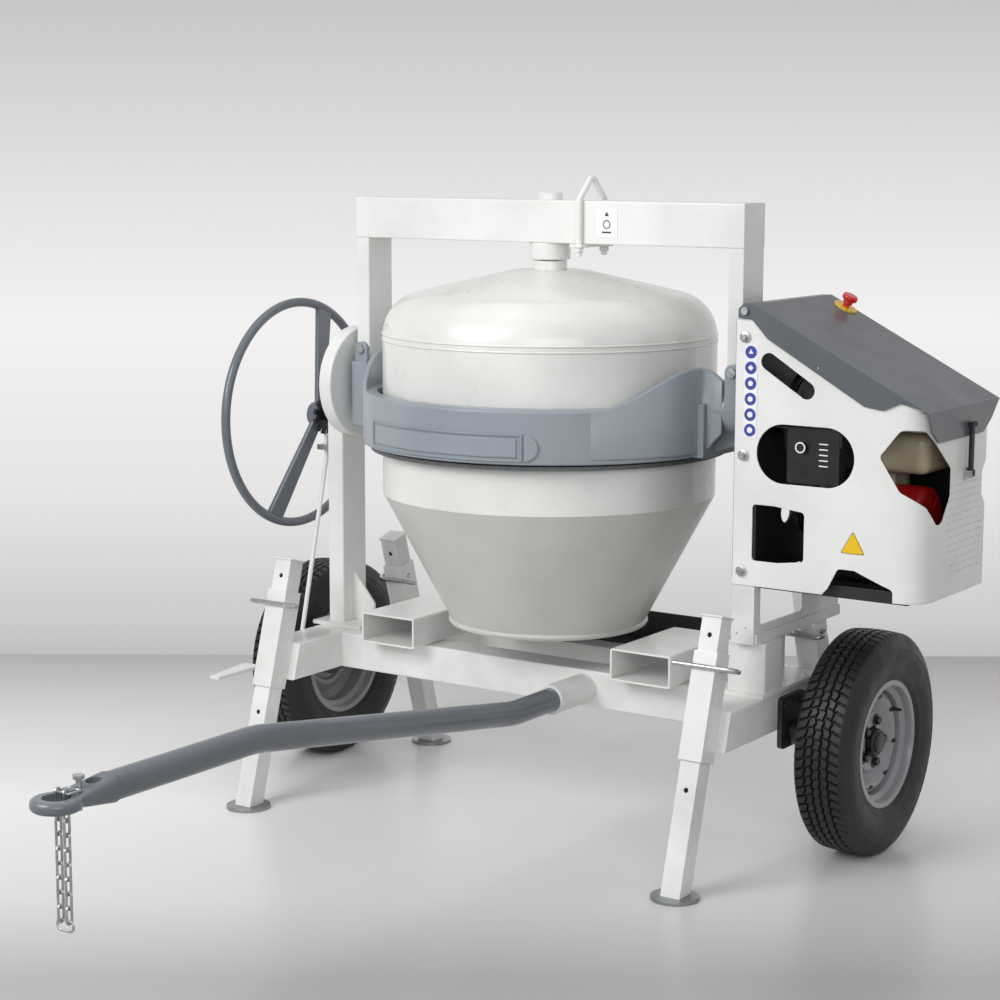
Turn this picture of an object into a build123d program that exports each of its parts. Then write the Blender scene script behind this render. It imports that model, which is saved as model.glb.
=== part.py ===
from build123d import *
import copy
import math
import os

# Towable tilting-drum concrete mixer, in millimetres.
# X points to the engine side, -Y to the towing eye and Z up. The sizes below are about the drum's
# axis, on the ground. At the end every piece moves together, so that the origin lies on the ground
# in the middle of the machine's footprint.

# ---- driving dimensions -------------------------------------------------------------------------
FACE_GAP = 0.3              # clearance between flat faces of different moving bodies
PIN_FIT = 0.08              # radial clearance of a shaft in its bearing
SEAT_GAP = 0.2              # clearance between round pieces that are fixed to each other

# drum
DRUM_R = 416.0
DRUM_WALL = 4.0
SEAM_Z = 1212.0             # dome meets cylinder
CONE_TOP_Z = 822.0          # cylinder meets cone
MOUTH_R = 244.5
MOUTH_Z = 497.0
MOUTH_ROLL_R = 8.0
DOME_TOP_Z = 1376.0
SHOULDER_R = 110.0          # rounding between the dome and the cylinder

# tilting frame
TILT_Z = 1063.0             # height of the trunnions
ARCH_HALF_X = 567.0
ARCH_POST_X = 40.0          # thickness of an arch post along X
ARCH_DEPTH = 100.0
ARCH_TOP_Z = 1547.0
ARCH_BEAM_H = 104.0
ARCH_WALL = 4.0
BOSS_R = 59.0
BAND_BOTTOM_Z = 950.0
BAND_TOP_Z = 1078.0
BAND_WALL = 8.0
TRUNNION_R = 25.0
DRIVE_TUBE_R = 36.0         # hollow trunnion on the engine side

# drum drive
CROWN_TEETH = 126
PINION_TEETH = 12
DRIVE_MODULE = 7.0
CROWN_FACE = 22.0
DRIVE_SHAFT_R = 20.0
DRIVE_TOOTH_SHARE = 0.38    # tooth thickness as a share of the pitch

# hand tilting gear
TILT_WHEEL_TEETH = 42
TILT_PINION_TEETH = 14
TILT_MODULE = 3.5
TILT_FACE = 18.0
TILT_TOOTH_SHARE = 0.42
HANDWHEEL_R = 297.0
HANDWHEEL_TUBE_R = 12.0
HANDWHEEL_DISH = 70.0
HANDWHEEL_SHAFT_R = 15.0

# chassis
CHASSIS_TOP_Z = 408.0
BEAM_H = 92.0
BEAM_W = 110.0
BEAM_WALL = 5.0
SIDE_INNER_X = 574.0
FRONT_BEAM_Y = -119.0       # front face of the front cross beam
REAR_BEAM_Y = 222.0         # rear face of the rear cross beam
CROSS_BEAM_DEPTH = 90.0
DRAIN_R = 6.0
DRAIN_INSET = 120.0          # drain hole behind the middle of the beam's end
POCKET_W = 166.0
POCKET_H = 79.0
POCKET_LEN = 300.0
POCKET_WALL = 5.0
POCKET_INNER_X = 293.0
POCKET_FRONT_Y = -178.0

# support legs
LEG_ANGLE = 16.0            # lean from the vertical
LEG_X = 629.0
LEG_SIZE = 50.0
LEG_WALL = 4.0
SLEEVE_SIZE = 60.0
SLEEVE_WALL = 4.4
FRONT_FOOT_Y = -438.0
REAR_FOOT_Y = 360.0
LEG_TOP_Z = 616.0
SLEEVE_TOP_Z = 540.0
SLEEVE_BOTTOM_Z = 299.0
FOOT_R = 56.0
FOOT_THICK = 8.0
LEG_PITCH = 34.0            # distance between two pin holes
LEG_STEPS = 6
LEG_PIN_Z = 505.0
LEG_PIN_R = 6.0
LEG_PIN_CLEAR = 1.2
LEG_PIN_REACH = 50.0         # pin outboard of its sleeve
LEG_PIN_REACH_REAR = 16.0    # shorter where the tyre stands beside the pin
LEG_PIN_TAIL = 45.0          # free end inboard of the sleeve

# running gear
WHEEL_X = 820.0
WHEEL_Y = 138.0
WHEEL_R = 269.5
TYRE_W = 145.0
RIM_R = 144.5
AXLE_Z = 303.0               # pivot of each half axle
AXLE_PLATE_DROP = 45.0       # axle plate below the side beam
AXLE_LINK_R = 20.0
STUB_R = 17.5
STUB_REACH = 26.0           # stub axle beyond the wheel's middle
HUB_R = 34.0
WHEEL_NUT_R = 7.0
WHEEL_NUT_CIRCLE_R = 46.0

# towing gear
TOW_X = 181.0
TOW_Z = 362.0
TOW_TUBE_R = 29.0
TOW_SLEEVE_R = 36.5
TOW_SLEEVE_REACH = 150.0    # length of the socket ahead of the front beam
TOW_BEND_Y = -430.0
TOW_UPPER_BEND_Y = -1354.0
TOW_TOP_Z = 503.0
TOW_END_Y = -1770.0
EYE_Y = -1903.0
EYE_HOLE_R = 26.5
EYE_BAR_R = 11.0
EYE_THICK = 24.0

# engine side
CARRIER_X0 = 606.0
CARRIER_X1 = 665.0
CARRIER_SHEET = 5.0
CARRIER_REAR_Y = 290.0
CARRIER_BOTTOM_Z = 536.0
PANEL_Y = -155.0            # front face of the housing
PANEL_SHEET = 2.5
PANEL_X0 = 608.0
PANEL_X1 = 1080.0
PANEL_BOTTOM_Z = 676.0
PANEL_CORNER_R = 60.0
PANEL_REAR_Y = 185.0
HOOD_SHEET = 2.5
HOOD_HINGE_X = 633.0
HOOD_HINGE_Z = 1309.0
HOOD_FRONT_Y = -161.0
HOOD_REAR_Y = 240.0
HOOD_HIGH_X = 652.0
HOOD_HIGH_Z = 1326.0
HOOD_LOW_X = 1086.0
HOOD_LOW_Z = 1104.0

# fixed post on the handwheel side
POST_X0 = -669.0
POST_X1 = -619.0
POST_DEPTH = 100.0
POST_TOP_Z = 1118.0
POST_PLATE = 10.0
COVER_R = 145.0
COVER_DEPTH = 36.0

# smaller fittings
COVER_SHEET = 3.0
BUSH_WALL = 9.0
HUB_SHAFT_R = 22.0
DOME_SLOPE = 13.0
HOOP_X = 120.0
HOOP_ROD_R = 8.0
HOOP_RISE = 59.0             # top of the lifting hoop above the arch
LUG_THICK = 10.0
LUG_BOLT_R = 7.0
LUG_BOLT_Z = 1154.0
LINK_LENGTH = 38.0
LINK_WIDTH = 18.0
LINK_BAR_R = 2.5
CHAIN_LINKS = 9
SHACKLE_R = 6.0
SHACKLE_Y = -1846.0
CHAIN_SLACK = 0.5
CHAIN_HALF_GAP = 10.5
CHAIN_Y = -1889.0

# handwheel lock
HANDWHEEL_HUB_X = -738.0
LOCK_X = -712.0
LOCK_THICK = 8.0
LOCK_R = 52.0
LOCK_NOTCH = 12.0
PAWL_W = 9.0
PAWL_GUIDE_Z = 872.0
PAWL_TRAVEL = 11.0
ROD_FOOT_Y = -122.0
ROD_FOOT_Z = 352.0
PEDAL_PIVOT_Y = 98.0
PEDAL_PIVOT_Z = 372.0
PEDAL_PIN_R = 8.0
ROD_R = 6.0
ROD_PIN_R = 5.0
PEDAL_ROOT_Y = -290.0
PEDAL_ROOT_Z = 322.0
PEDAL_TIP_Y = -442.0
SPOKE_LEAN = 22.0

# engine and belt
TILT_BEARING_R = 50.0
TRAY_Z = 668.0
TRAY_X1 = 1035.0
TRAY_FRONT_Y = -128.0
TRAY_REAR_Y = 200.0
RECOIL_R = 88.0
TANK_X0 = 905.0
TANK_Z = 950.0
CONTROL_X0 = 735.0
HINGE_PIN_R = 5.0
ESTOP_X = 705.0
ESTOP_Y = 205.0
ESTOP_RING_R = 29.0
ESTOP_HEAD_R = 19.0
ESTOP_STEM_R = 8.0
LATCH_Y = 66.0
LATCH_Z = 948.0
PULLEY_X0 = 700.0
PULLEY_X1 = 722.0
DRIVEN_PULLEY_R = 92.0
ENGINE_PULLEY_R = 38.0
CRANK_R = 12.0
CRANK_Z = 830.0
CRANK_DEPTH = 30.0          # shaft inside the crankcase
BELT_THICK = 8.0
BELT_GAP = 0.4              # between the belt and each pulley
ENGINE_X0 = 772.0
ENGINE_TOP_Z = 900.0

# ---- derived values -----------------------------------------------------------------------------
CHASSIS_BOTTOM_Z = CHASSIS_TOP_Z - BEAM_H
SIDE_OUTER_X = SIDE_INNER_X + BEAM_W
TILT_CENTRES = TILT_MODULE * (TILT_WHEEL_TEETH + TILT_PINION_TEETH) / 2
HANDWHEEL_Z = TILT_Z - TILT_CENTRES
CROWN_R = DRIVE_MODULE * CROWN_TEETH / 2
PINION_R = DRIVE_MODULE * PINION_TEETH / 2
CROWN_Z = TILT_Z - PINION_R
LEG_TAN = math.tan(math.radians(LEG_ANGLE))
LEG_COS = math.cos(math.radians(LEG_ANGLE))
LEG_TRAVEL = LEG_PITCH * LEG_STEPS
WHEEL_Z = WHEEL_R
BAND_OUTER_R = CROWN_R + CROWN_FACE / 2 + 3.0 + BAND_WALL
ARCH_FOOT_Z = TILT_Z + BOSS_R + 3.0
HOOP_TOP_Z = ARCH_TOP_Z + HOOP_RISE
CARRIER_FRONT_Y = PANEL_Y + PANEL_SHEET
BAND_INNER_R = BAND_OUTER_R - BAND_WALL
HOOD_SLOPE = (HOOD_HIGH_Z - HOOD_LOW_Z) / (HOOD_LOW_X - HOOD_HIGH_X)
HOOD_ANGLE = math.degrees(math.atan(HOOD_SLOPE))


# ---- helpers ------------------------------------------------------------------------------------
def block(x0, x1, y0, y1, z0, z1):
    size = Box(abs(x1 - x0), abs(y1 - y0), abs(z1 - z0))
    return Pos((x0 + x1) / 2, (y0 + y1) / 2, (z0 + z1) / 2) * size


def rod_x(radius, x0, x1, y, z):
    return Pos((x0 + x1) / 2, y, z) * Rot(0, 90, 0) * Cylinder(radius, abs(x1 - x0))


def rod_y(radius, y0, y1, x, z):
    return Pos(x, (y0 + y1) / 2, z) * Rot(90, 0, 0) * Cylinder(radius, abs(y1 - y0))


def rod_z(radius, z0, z1, x, y):
    return Pos(x, y, (z0 + z1) / 2) * Cylinder(radius, abs(z1 - z0))


def prism_y(points, y0, y1, radius=0):
    """Outline of (x, z) points, pushed from y0 to y1."""
    corners = [(x, y0, z) for x, z in points]
    line = FilletPolyline(*corners, radius=radius, close=True) if radius else Polyline(*corners, close=True)
    return extrude(make_face(line), amount=y1 - y0, dir=(0, 1, 0))


def prism_x(points, x0, x1, radius=0):
    """Outline of (y, z) points, pushed from x0 to x1."""
    corners = [(x0, y, z) for y, z in points]
    line = FilletPolyline(*corners, radius=radius, close=True) if radius else Polyline(*corners, close=True)
    return extrude(make_face(line), amount=x1 - x0, dir=(1, 0, 0))


def flipped(shape):
    """The same piece on the other side of the drum's axis."""
    return mirror(shape, about=Plane.YZ)


def hex_bolt_y(x, y, z, radius, side=-1):
    """Bolt head on a face that looks along side * Y."""
    head = Pos(x, y, z) * Rot(90, 0, 0) * extrude(RegularPolygon(radius, 6), amount=-side * radius * 0.65)
    return head


def gear_face(teeth, module, share):
    """Outline of an involute gear about the local Z axis, with a tooth on the local X axis."""
    pitch_r = module * teeth / 2
    base_r = pitch_r * math.cos(math.radians(20))
    tip_r = pitch_r + module * 0.92
    root_r = pitch_r - module * 1.2
    involute_at_pitch = math.tan(math.radians(20)) - math.radians(20)
    flank = []
    steps = 5
    for step in range(steps):
        radius = max(base_r, root_r) + (tip_r - max(base_r, root_r)) * step / (steps - 1)
        pressure = math.acos(min(1.0, base_r / radius))
        involute = math.tan(pressure) - pressure
        flank.append((radius, math.pi * share / teeth + involute_at_pitch - involute))
    if root_r < base_r:
        flank.insert(0, (root_r, flank[0][1]))
    points = []
    for tooth in range(teeth):
        middle = 2 * math.pi * tooth / teeth
        for radius, half in flank:
            points.append((radius * math.cos(middle - half), radius * math.sin(middle - half)))
        for radius, half in reversed(flank):
            points.append((radius * math.cos(middle + half), radius * math.sin(middle + half)))
    return make_face(Polyline(*points, close=True))


def gear_on_x(teeth, module, share, x0, x1, y, z, turn):
    """Gear about an axis along X, with one tooth turned by degrees from the upward direction."""
    gear = extrude(gear_face(teeth, module, share), amount=x1 - x0)
    return Pos(x0, y, z) * Rot(turn, 0, 0) * Rot(0, 90, 0) * Rot(0, 0, 180) * gear


# ---- chassis ------------------------------------------------------------------------------------
def leg_frame(foot_y, lean):
    """Place on a leg's axis: local Z runs up the leg, and the origin is on the ground."""
    return Pos(0, foot_y, 0) * Rot(lean * LEG_ANGLE, 0, 0)


def leg_places():
    """Name, side, foot position and lean of each leg."""
    return [
        ("front_left", -1, FRONT_FOOT_Y, -1),
        ("front_right", 1, FRONT_FOOT_Y, -1),
        ("rear_left", -1, REAR_FOOT_Y, 1),
        ("rear_right", 1, REAR_FOOT_Y, 1),
    ]


def along_leg(z):
    return z / LEG_COS


def sleeve_solid(foot_y, lean, size, z0, z1):
    length = along_leg(z1 - z0)
    middle = along_leg((z0 + z1) / 2)
    return leg_frame(foot_y, lean) * Pos(LEG_X, 0, middle) * Box(size, size, length)


def cross_beams():
    span = SIDE_INNER_X
    front = block(-span, span, FRONT_BEAM_Y, FRONT_BEAM_Y + CROSS_BEAM_DEPTH, CHASSIS_BOTTOM_Z, CHASSIS_TOP_Z)
    rear = block(-span, span, REAR_BEAM_Y - CROSS_BEAM_DEPTH, REAR_BEAM_Y, CHASSIS_BOTTOM_Z, CHASSIS_TOP_Z)
    wall = BEAM_WALL
    beams = []
    for beam in (front, rear):
        box = beam.bounding_box()
        core = block(-span, span, box.min.Y + wall, box.max.Y - wall, box.min.Z + wall, box.max.Z - wall)
        edges = fillet(beam.edges().filter_by(Axis.X), wall)
        beams.append(edges - core)
    socket = rod_y(TOW_SLEEVE_R, FRONT_BEAM_Y - 1, FRONT_BEAM_Y + CROSS_BEAM_DEPTH + 1, TOW_X, TOW_Z)
    beams[0] -= socket
    return Compound(children=beams)


def leaning_ends(beam, inset):
    """Cut a side beam at both ends to the lean of the leg sleeves."""
    reach = 200.0
    for foot_y, lean in ((FRONT_FOOT_Y, -1), (REAR_FOOT_Y, 1)):
        y = lean * ((reach - SLEEVE_SIZE) / 2 - inset)
        beam -= leg_frame(foot_y, lean) * Pos(LEG_X, y, along_leg(CHASSIS_TOP_Z)) * Box(BEAM_W * 2, reach, 500)
    return beam


def side_beam():
    """Right side beam with closed ends and a drain hole near each of them."""
    front_y = FRONT_FOOT_Y + LEG_TAN * (CHASSIS_BOTTOM_Z + BEAM_H / 2)
    rear_y = REAR_FOOT_Y - LEG_TAN * (CHASSIS_BOTTOM_Z + BEAM_H / 2)
    wall = BEAM_WALL
    beam = block(SIDE_INNER_X, SIDE_OUTER_X, front_y, rear_y, CHASSIS_BOTTOM_Z, CHASSIS_TOP_Z)
    beam = leaning_ends(fillet(beam.edges().filter_by(Axis.Y), wall), 0)
    core = block(SIDE_INNER_X + wall, SIDE_OUTER_X - wall, front_y, rear_y, CHASSIS_BOTTOM_Z + wall, CHASSIS_TOP_Z - wall)
    beam -= leaning_ends(core, wall)
    for y in (front_y + DRAIN_INSET, rear_y - DRAIN_INSET):
        beam -= rod_z(DRAIN_R, CHASSIS_BOTTOM_Z - 1, CHASSIS_BOTTOM_Z + wall + 1, LEG_X, y)
    return beam


def side_beams():
    return Compound(children=[side_beam(), flipped(side_beam())])


def leg_pin_offset():
    return along_leg(LEG_PIN_Z)


def leg_sleeves():
    sleeves = []
    for name, side, foot_y, lean in leg_places():
        sleeve = sleeve_solid(foot_y, lean, SLEEVE_SIZE, SLEEVE_BOTTOM_Z, SLEEVE_TOP_Z)
        sleeve -= sleeve_solid(foot_y, lean, SLEEVE_SIZE - 2 * SLEEVE_WALL, SLEEVE_BOTTOM_Z - 20, SLEEVE_TOP_Z + 20)
        hole = rod_x(LEG_PIN_R + LEG_PIN_CLEAR, LEG_X - SLEEVE_SIZE, LEG_X + SLEEVE_SIZE, 0, leg_pin_offset())
        sleeve -= leg_frame(foot_y, lean) * hole
        sleeves.append(sleeve if side > 0 else flipped(sleeve))
    return Compound(children=sleeves)


def fork_pockets():
    outer = block(POCKET_INNER_X, POCKET_INNER_X + POCKET_W, POCKET_FRONT_Y, POCKET_FRONT_Y + POCKET_LEN,
                  CHASSIS_TOP_Z, CHASSIS_TOP_Z + POCKET_H)
    outer = fillet(outer.edges().filter_by(Axis.Y), POCKET_WALL + 1)
    wall = POCKET_WALL
    core = block(POCKET_INNER_X + wall, POCKET_INNER_X + POCKET_W - wall, POCKET_FRONT_Y - 1,
                 POCKET_FRONT_Y + POCKET_LEN + 1, CHASSIS_TOP_Z + wall, CHASSIS_TOP_Z + POCKET_H - wall)
    pocket = outer - core
    return Compound(children=[pocket, flipped(pocket)])


def rear_guard():
    """Dark angle plate on the rear cross beam, behind the mouth."""
    top = CHASSIS_TOP_Z + 72
    rear = REAR_BEAM_Y + 70
    foot = block(-330, 330, REAR_BEAM_Y - 30, rear, CHASSIS_TOP_Z, CHASSIS_TOP_Z + 5)
    wall = block(-330, 330, rear - 5, rear, CHASSIS_TOP_Z, top)
    return foot + wall


def half_axles():
    """Two short torsion axles: pivot on the side beam, trailing arm and stub axle."""
    arm_x0 = SIDE_OUTER_X + 17
    arm_x1 = arm_x0 + 26
    link = rod_x(AXLE_LINK_R, SIDE_OUTER_X, arm_x1, 0, AXLE_Z)
    arm = trailing_arm(arm_x0, arm_x1, AXLE_Z)
    stub = rod_x(STUB_R, arm_x1, WHEEL_X + STUB_REACH, WHEEL_Y, WHEEL_Z)
    side = link + arm + stub
    return Compound(children=[side, flipped(side)])


def trailing_arm(x0, x1, z):
    front = rod_x(30, x0, x1, 0, z)
    back = rod_x(30, x0, x1, WHEEL_Y, WHEEL_Z)
    slope = math.degrees(math.atan2(WHEEL_Z - z, WHEEL_Y))
    length = math.hypot(WHEEL_Y, WHEEL_Z - z)
    bar = Pos((x0 + x1) / 2, WHEEL_Y / 2, (z + WHEEL_Z) / 2) * Rot(slope, 0, 0) * Box(x1 - x0, length, 50)
    return front + back + bar


def axle_brackets():
    """Black plates that carry the half axles on the outer faces of the side beams."""
    plate = block(SIDE_OUTER_X, SIDE_OUTER_X + 12, -60, 60, CHASSIS_BOTTOM_Z - AXLE_PLATE_DROP, CHASSIS_TOP_Z - 12)
    plate = fillet(plate.edges().filter_by(Axis.X), 12)
    plate -= rod_x(AXLE_LINK_R + 1, SIDE_OUTER_X - 1, SIDE_OUTER_X + 13, 0, AXLE_Z)
    for y in (-42, 42):
        plate += rod_x(9, SIDE_OUTER_X + 12, SIDE_OUTER_X + 19, y, CHASSIS_TOP_Z - 34)
    return Compound(children=[plate, flipped(plate)])


# ---- towing gear --------------------------------------------------------------------------------
def tow_socket():
    front = FRONT_BEAM_Y - TOW_SLEEVE_REACH
    rear = FRONT_BEAM_Y + CROSS_BEAM_DEPTH + 40
    sleeve = rod_y(TOW_SLEEVE_R, front, rear, TOW_X, TOW_Z)
    return sleeve - rod_y(TOW_TUBE_R + SEAT_GAP, front - 1, rear + 1, TOW_X, TOW_Z)


def towbar():
    start = FRONT_BEAM_Y + CROSS_BEAM_DEPTH
    path = FilletPolyline((TOW_X, start, TOW_Z), (TOW_X, TOW_BEND_Y, TOW_Z), (TOW_X, TOW_UPPER_BEND_Y, TOW_TOP_Z),
                          (TOW_X, TOW_END_Y, TOW_TOP_Z), radius=300)
    face = Plane((TOW_X, start, TOW_Z), z_dir=(0, -1, 0)) * (Circle(TOW_TUBE_R) - Circle(TOW_TUBE_R - 4))
    return sweep(face, path=path)


def towing_eye():
    """Forged ring with a vertical hole, and a neck that plugs into the bar."""
    ring_r = EYE_HOLE_R + 2 * EYE_BAR_R
    ring = rod_z(ring_r, TOW_TOP_Z - EYE_THICK / 2, TOW_TOP_Z + EYE_THICK / 2, TOW_X, EYE_Y)
    ring = fillet(ring.edges(), EYE_THICK / 2 - 2)
    neck_y = EYE_Y + ring_r * 0.55
    small = Plane((TOW_X, neck_y, TOW_TOP_Z), x_dir=(1, 0, 0), z_dir=(0, 1, 0)) * RectangleRounded(66, EYE_THICK - 3, 8)
    large = Plane((TOW_X, TOW_END_Y, TOW_TOP_Z), x_dir=(1, 0, 0), z_dir=(0, 1, 0)) * RectangleRounded(66, 58, 26)
    neck = loft([small, large])
    plug = rod_y(TOW_TUBE_R - 4 - SEAT_GAP, TOW_END_Y, TOW_END_Y + 60, TOW_X, TOW_TOP_Z)
    eye = ring + neck + plug
    eye -= rod_z(EYE_HOLE_R, TOW_TOP_Z - 60, TOW_TOP_Z + 60, TOW_X, EYE_Y)
    window = rod_z(15, TOW_TOP_Z - 2, TOW_TOP_Z + 60, TOW_X, TOW_END_Y - 38)
    eye -= rod_z(SHACKLE_R + SEAT_GAP, TOW_TOP_Z - 60, TOW_TOP_Z + 60, TOW_X, SHACKLE_Y)
    return eye - window


def oval_link(length, width):
    """Link in the XZ plane, its outer length along Z and its outer width along X."""
    bar = LINK_BAR_R
    longer = max(length, width)
    shorter = min(length, width)
    slot = SlotCenterToCenter(longer - shorter, shorter - 2 * bar, rotation=90 if length > width else 0)
    wire = (Plane.XZ * slot).face().outer_wire()
    section = Plane(wire @ 0.1, z_dir=wire % 0.1) * Circle(bar)
    return sweep(section, path=wire)


def chain_rest_z():
    return TOW_TOP_Z + EYE_THICK / 2 + LINK_BAR_R + 2.5


def tow_chain():
    """Two strands that hang through the towing eye and meet in a wide last link."""
    bar = LINK_BAR_R
    pitch = LINK_LENGTH - 4 * bar - CHAIN_SLACK
    top = chain_rest_z() + bar + CHAIN_SLACK / 2 - (LINK_LENGTH / 2 - 2 * bar) + bar
    link = oval_link(LINK_LENGTH, LINK_WIDTH)
    links = []
    for side in (-1, 1):
        for index in range(CHAIN_LINKS):
            turn = 90 if index % 2 == 0 else 0
            links.append(Pos(TOW_X + side * CHAIN_HALF_GAP, CHAIN_Y, top - index * pitch) * Rot(0, 0, turn) * link)
    height = 25.0
    last = top - (CHAIN_LINKS - 1) * pitch - (LINK_LENGTH / 2 - 2 * bar) - (height / 2 - 2 * bar) + CHAIN_SLACK
    joiner = oval_link(height, height + 2 * CHAIN_HALF_GAP)
    links.append(Pos(TOW_X, CHAIN_Y, last) * joiner)
    return Compound(children=links)


def chain_shackle():
    """Bolt through the neck of the eye and the links that lie over it."""
    deck = TOW_TOP_Z + EYE_THICK / 2
    parts = [rod_z(SHACKLE_R, TOW_TOP_Z - 26, deck + 22, TOW_X, SHACKLE_Y)]
    parts.append(rod_z(11, deck + 22, deck + 29, TOW_X, SHACKLE_Y))
    flat = Rot(90, 0, 0) * oval_link(LINK_LENGTH, LINK_WIDTH)
    y = CHAIN_Y + LINK_LENGTH / 2 - LINK_BAR_R
    for side in (-1, 1):
        parts.append(Pos(TOW_X + side * CHAIN_HALF_GAP, y, chain_rest_z()) * flat)
    return Compound(children=parts)


# ---- post on the handwheel side -----------------------------------------------------------------
def left_post():
    base = CHASSIS_TOP_Z + POST_PLATE
    half = POST_DEPTH / 2
    post = block(POST_X0, POST_X1, -half, half, base, POST_TOP_Z)
    post = fillet(post.edges().filter_by(Axis.Z), 5)
    post -= block(POST_X0 + 4, POST_X1 - 4, -half + 4, half - 4, base - 1, POST_TOP_Z - 4)
    middle = -(SIDE_INNER_X + SIDE_OUTER_X) / 2
    plate = block(middle - 80, middle + 80, -half - 20, half + 20, CHASSIS_TOP_Z, base)
    gusset = prism_y([(POST_X1, base), (POST_X1, base + 130), (middle + 76, base + 50), (middle + 76, base)], -4, 4)
    post = post + plate + gusset
    post -= rod_x(TRUNNION_R + BUSH_WALL, POST_X0 - 5, POST_X1 + 5, 0, TILT_Z)
    post -= rod_x(HANDWHEEL_SHAFT_R + BUSH_WALL, POST_X0 - 5, POST_X1 + 5, 0, HANDWHEEL_Z)
    return post


def post_bearings():
    bushes = []
    for radius, z in ((TRUNNION_R, TILT_Z), (HANDWHEEL_SHAFT_R, HANDWHEEL_Z)):
        bush = rod_x(radius + BUSH_WALL, POST_X0 - 3, POST_X1 + COVER_SHEET, 0, z)
        bushes.append(bush - rod_x(radius + PIN_FIT, POST_X0 - 5, POST_X1 + 10, 0, z))
    return Compound(children=bushes)


def gear_cover():
    """Round box between the post and the tilting frame, over the tilting gears."""
    x0 = POST_X1
    x1 = POST_X1 + COVER_DEPTH
    cover = rod_x(COVER_R, x0, x1, 0, TILT_Z)
    cover = fillet(cover.edges().group_by(Axis.X)[-1], 5)
    cover -= rod_x(COVER_R - COVER_SHEET, x0 + COVER_SHEET, x1 - COVER_SHEET, 0, TILT_Z)
    cover -= rod_x(TRUNNION_R + BUSH_WALL, x0 - 1, x0 + COVER_SHEET + 1, 0, TILT_Z)
    cover -= rod_x(HANDWHEEL_SHAFT_R + BUSH_WALL, x0 - 1, x0 + COVER_SHEET + 1, 0, HANDWHEEL_Z)
    cover -= rod_x(TRUNNION_R + 6, x1 - COVER_SHEET - 1, x1 + 1, 0, TILT_Z)
    return cover


def pawl_guide():
    """Bracket on the post that steers the lock pawl."""
    guide = block(LOCK_X - 20, POST_X0, -16, 16, PAWL_GUIDE_Z, PAWL_GUIDE_Z + 14)
    half = PAWL_W / 2 + 0.5
    guide -= block(LOCK_X - LOCK_THICK / 2 - 0.5, LOCK_X + LOCK_THICK / 2 + 0.5, -half, half,
                   PAWL_GUIDE_Z - 1, PAWL_GUIDE_Z + 15)
    return guide


# ---- tilting frame ------------------------------------------------------------------------------
def arch_tube(outer, inner, axis):
    """Rectangular tube along the axis with rounded outer edges."""
    return fillet(outer.edges().filter_by(axis), 3) - inner


def arch():
    """Beam and the two posts under its ends."""
    half = ARCH_DEPTH / 2
    wall = ARCH_WALL
    under = ARCH_TOP_Z - ARCH_BEAM_H
    x1 = ARCH_HALF_X
    x0 = ARCH_HALF_X - ARCH_POST_X
    beam = arch_tube(block(-x1, x1, -half, half, under, ARCH_TOP_Z),
                     block(-x1 + wall, x1 - wall, -half + wall, half - wall, under + wall, ARCH_TOP_Z - wall), Axis.X)
    beam -= rod_z(HUB_SHAFT_R + 4, under - 1, ARCH_TOP_Z + 1, 0, 0)
    post = arch_tube(block(x0, x1, -half, half, ARCH_FOOT_Z, under),
                     block(x0 + wall, x1 - wall, -half + wall, half - wall, ARCH_FOOT_Z - 1, under + 1), Axis.Z)
    post -= rod_y(LUG_BOLT_R, -half - 1, half + 1, ARCH_HALF_X - ARCH_POST_X / 2, LUG_BOLT_Z)
    return Compound(children=[beam, post, flipped(post)])


def hub_bearing():
    under = ARCH_TOP_Z - ARCH_BEAM_H
    housing = rod_z(50, under - 42, under, 0, 0)
    housing = fillet(housing.edges().group_by(Axis.Z)[0], 4)
    housing -= rod_z(HUB_SHAFT_R + PIN_FIT, under - 43, under + 1, 0, 0)
    cap = fillet(rod_z(30, ARCH_TOP_Z, ARCH_TOP_Z + 18, 0, 0).edges().group_by(Axis.Z)[-1], 3)
    return Compound(children=[housing, cap])


def lifting_hoop():
    leg_y = ARCH_DEPTH / 2 + HOOP_ROD_R + FACE_GAP
    under = ARCH_TOP_Z - ARCH_BEAM_H
    foot = under - 30
    path = FilletPolyline((HOOP_X, -leg_y, foot), (HOOP_X, -leg_y, ARCH_TOP_Z + 2), (HOOP_X, 0, HOOP_TOP_Z),
                          (HOOP_X, leg_y, ARCH_TOP_Z + 2), (HOOP_X, leg_y, foot), radius=14)
    section = Plane((HOOP_X, -leg_y, foot), z_dir=(0, 0, 1)) * Circle(HOOP_ROD_R)
    return sweep(section, path=path)


def hoop_plate():
    leg_y = ARCH_DEPTH / 2 + HOOP_ROD_R + FACE_GAP
    under = ARCH_TOP_Z - ARCH_BEAM_H
    plate = block(HOOP_X - 17, HOOP_X + 17, -leg_y - 16, leg_y + 16, under - 8, under)
    parts = []
    for side in (-1, 1):
        plate -= rod_z(HOOP_ROD_R, under - 9, under + 1, HOOP_X, side * leg_y)
        nut = Pos(HOOP_X, side * leg_y, under - 20) * extrude(RegularPolygon(13, 6), amount=12)
        parts.append(nut - rod_z(HOOP_ROD_R, under - 21, under, HOOP_X, side * leg_y))
    return Compound(children=[plate] + parts)


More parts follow.
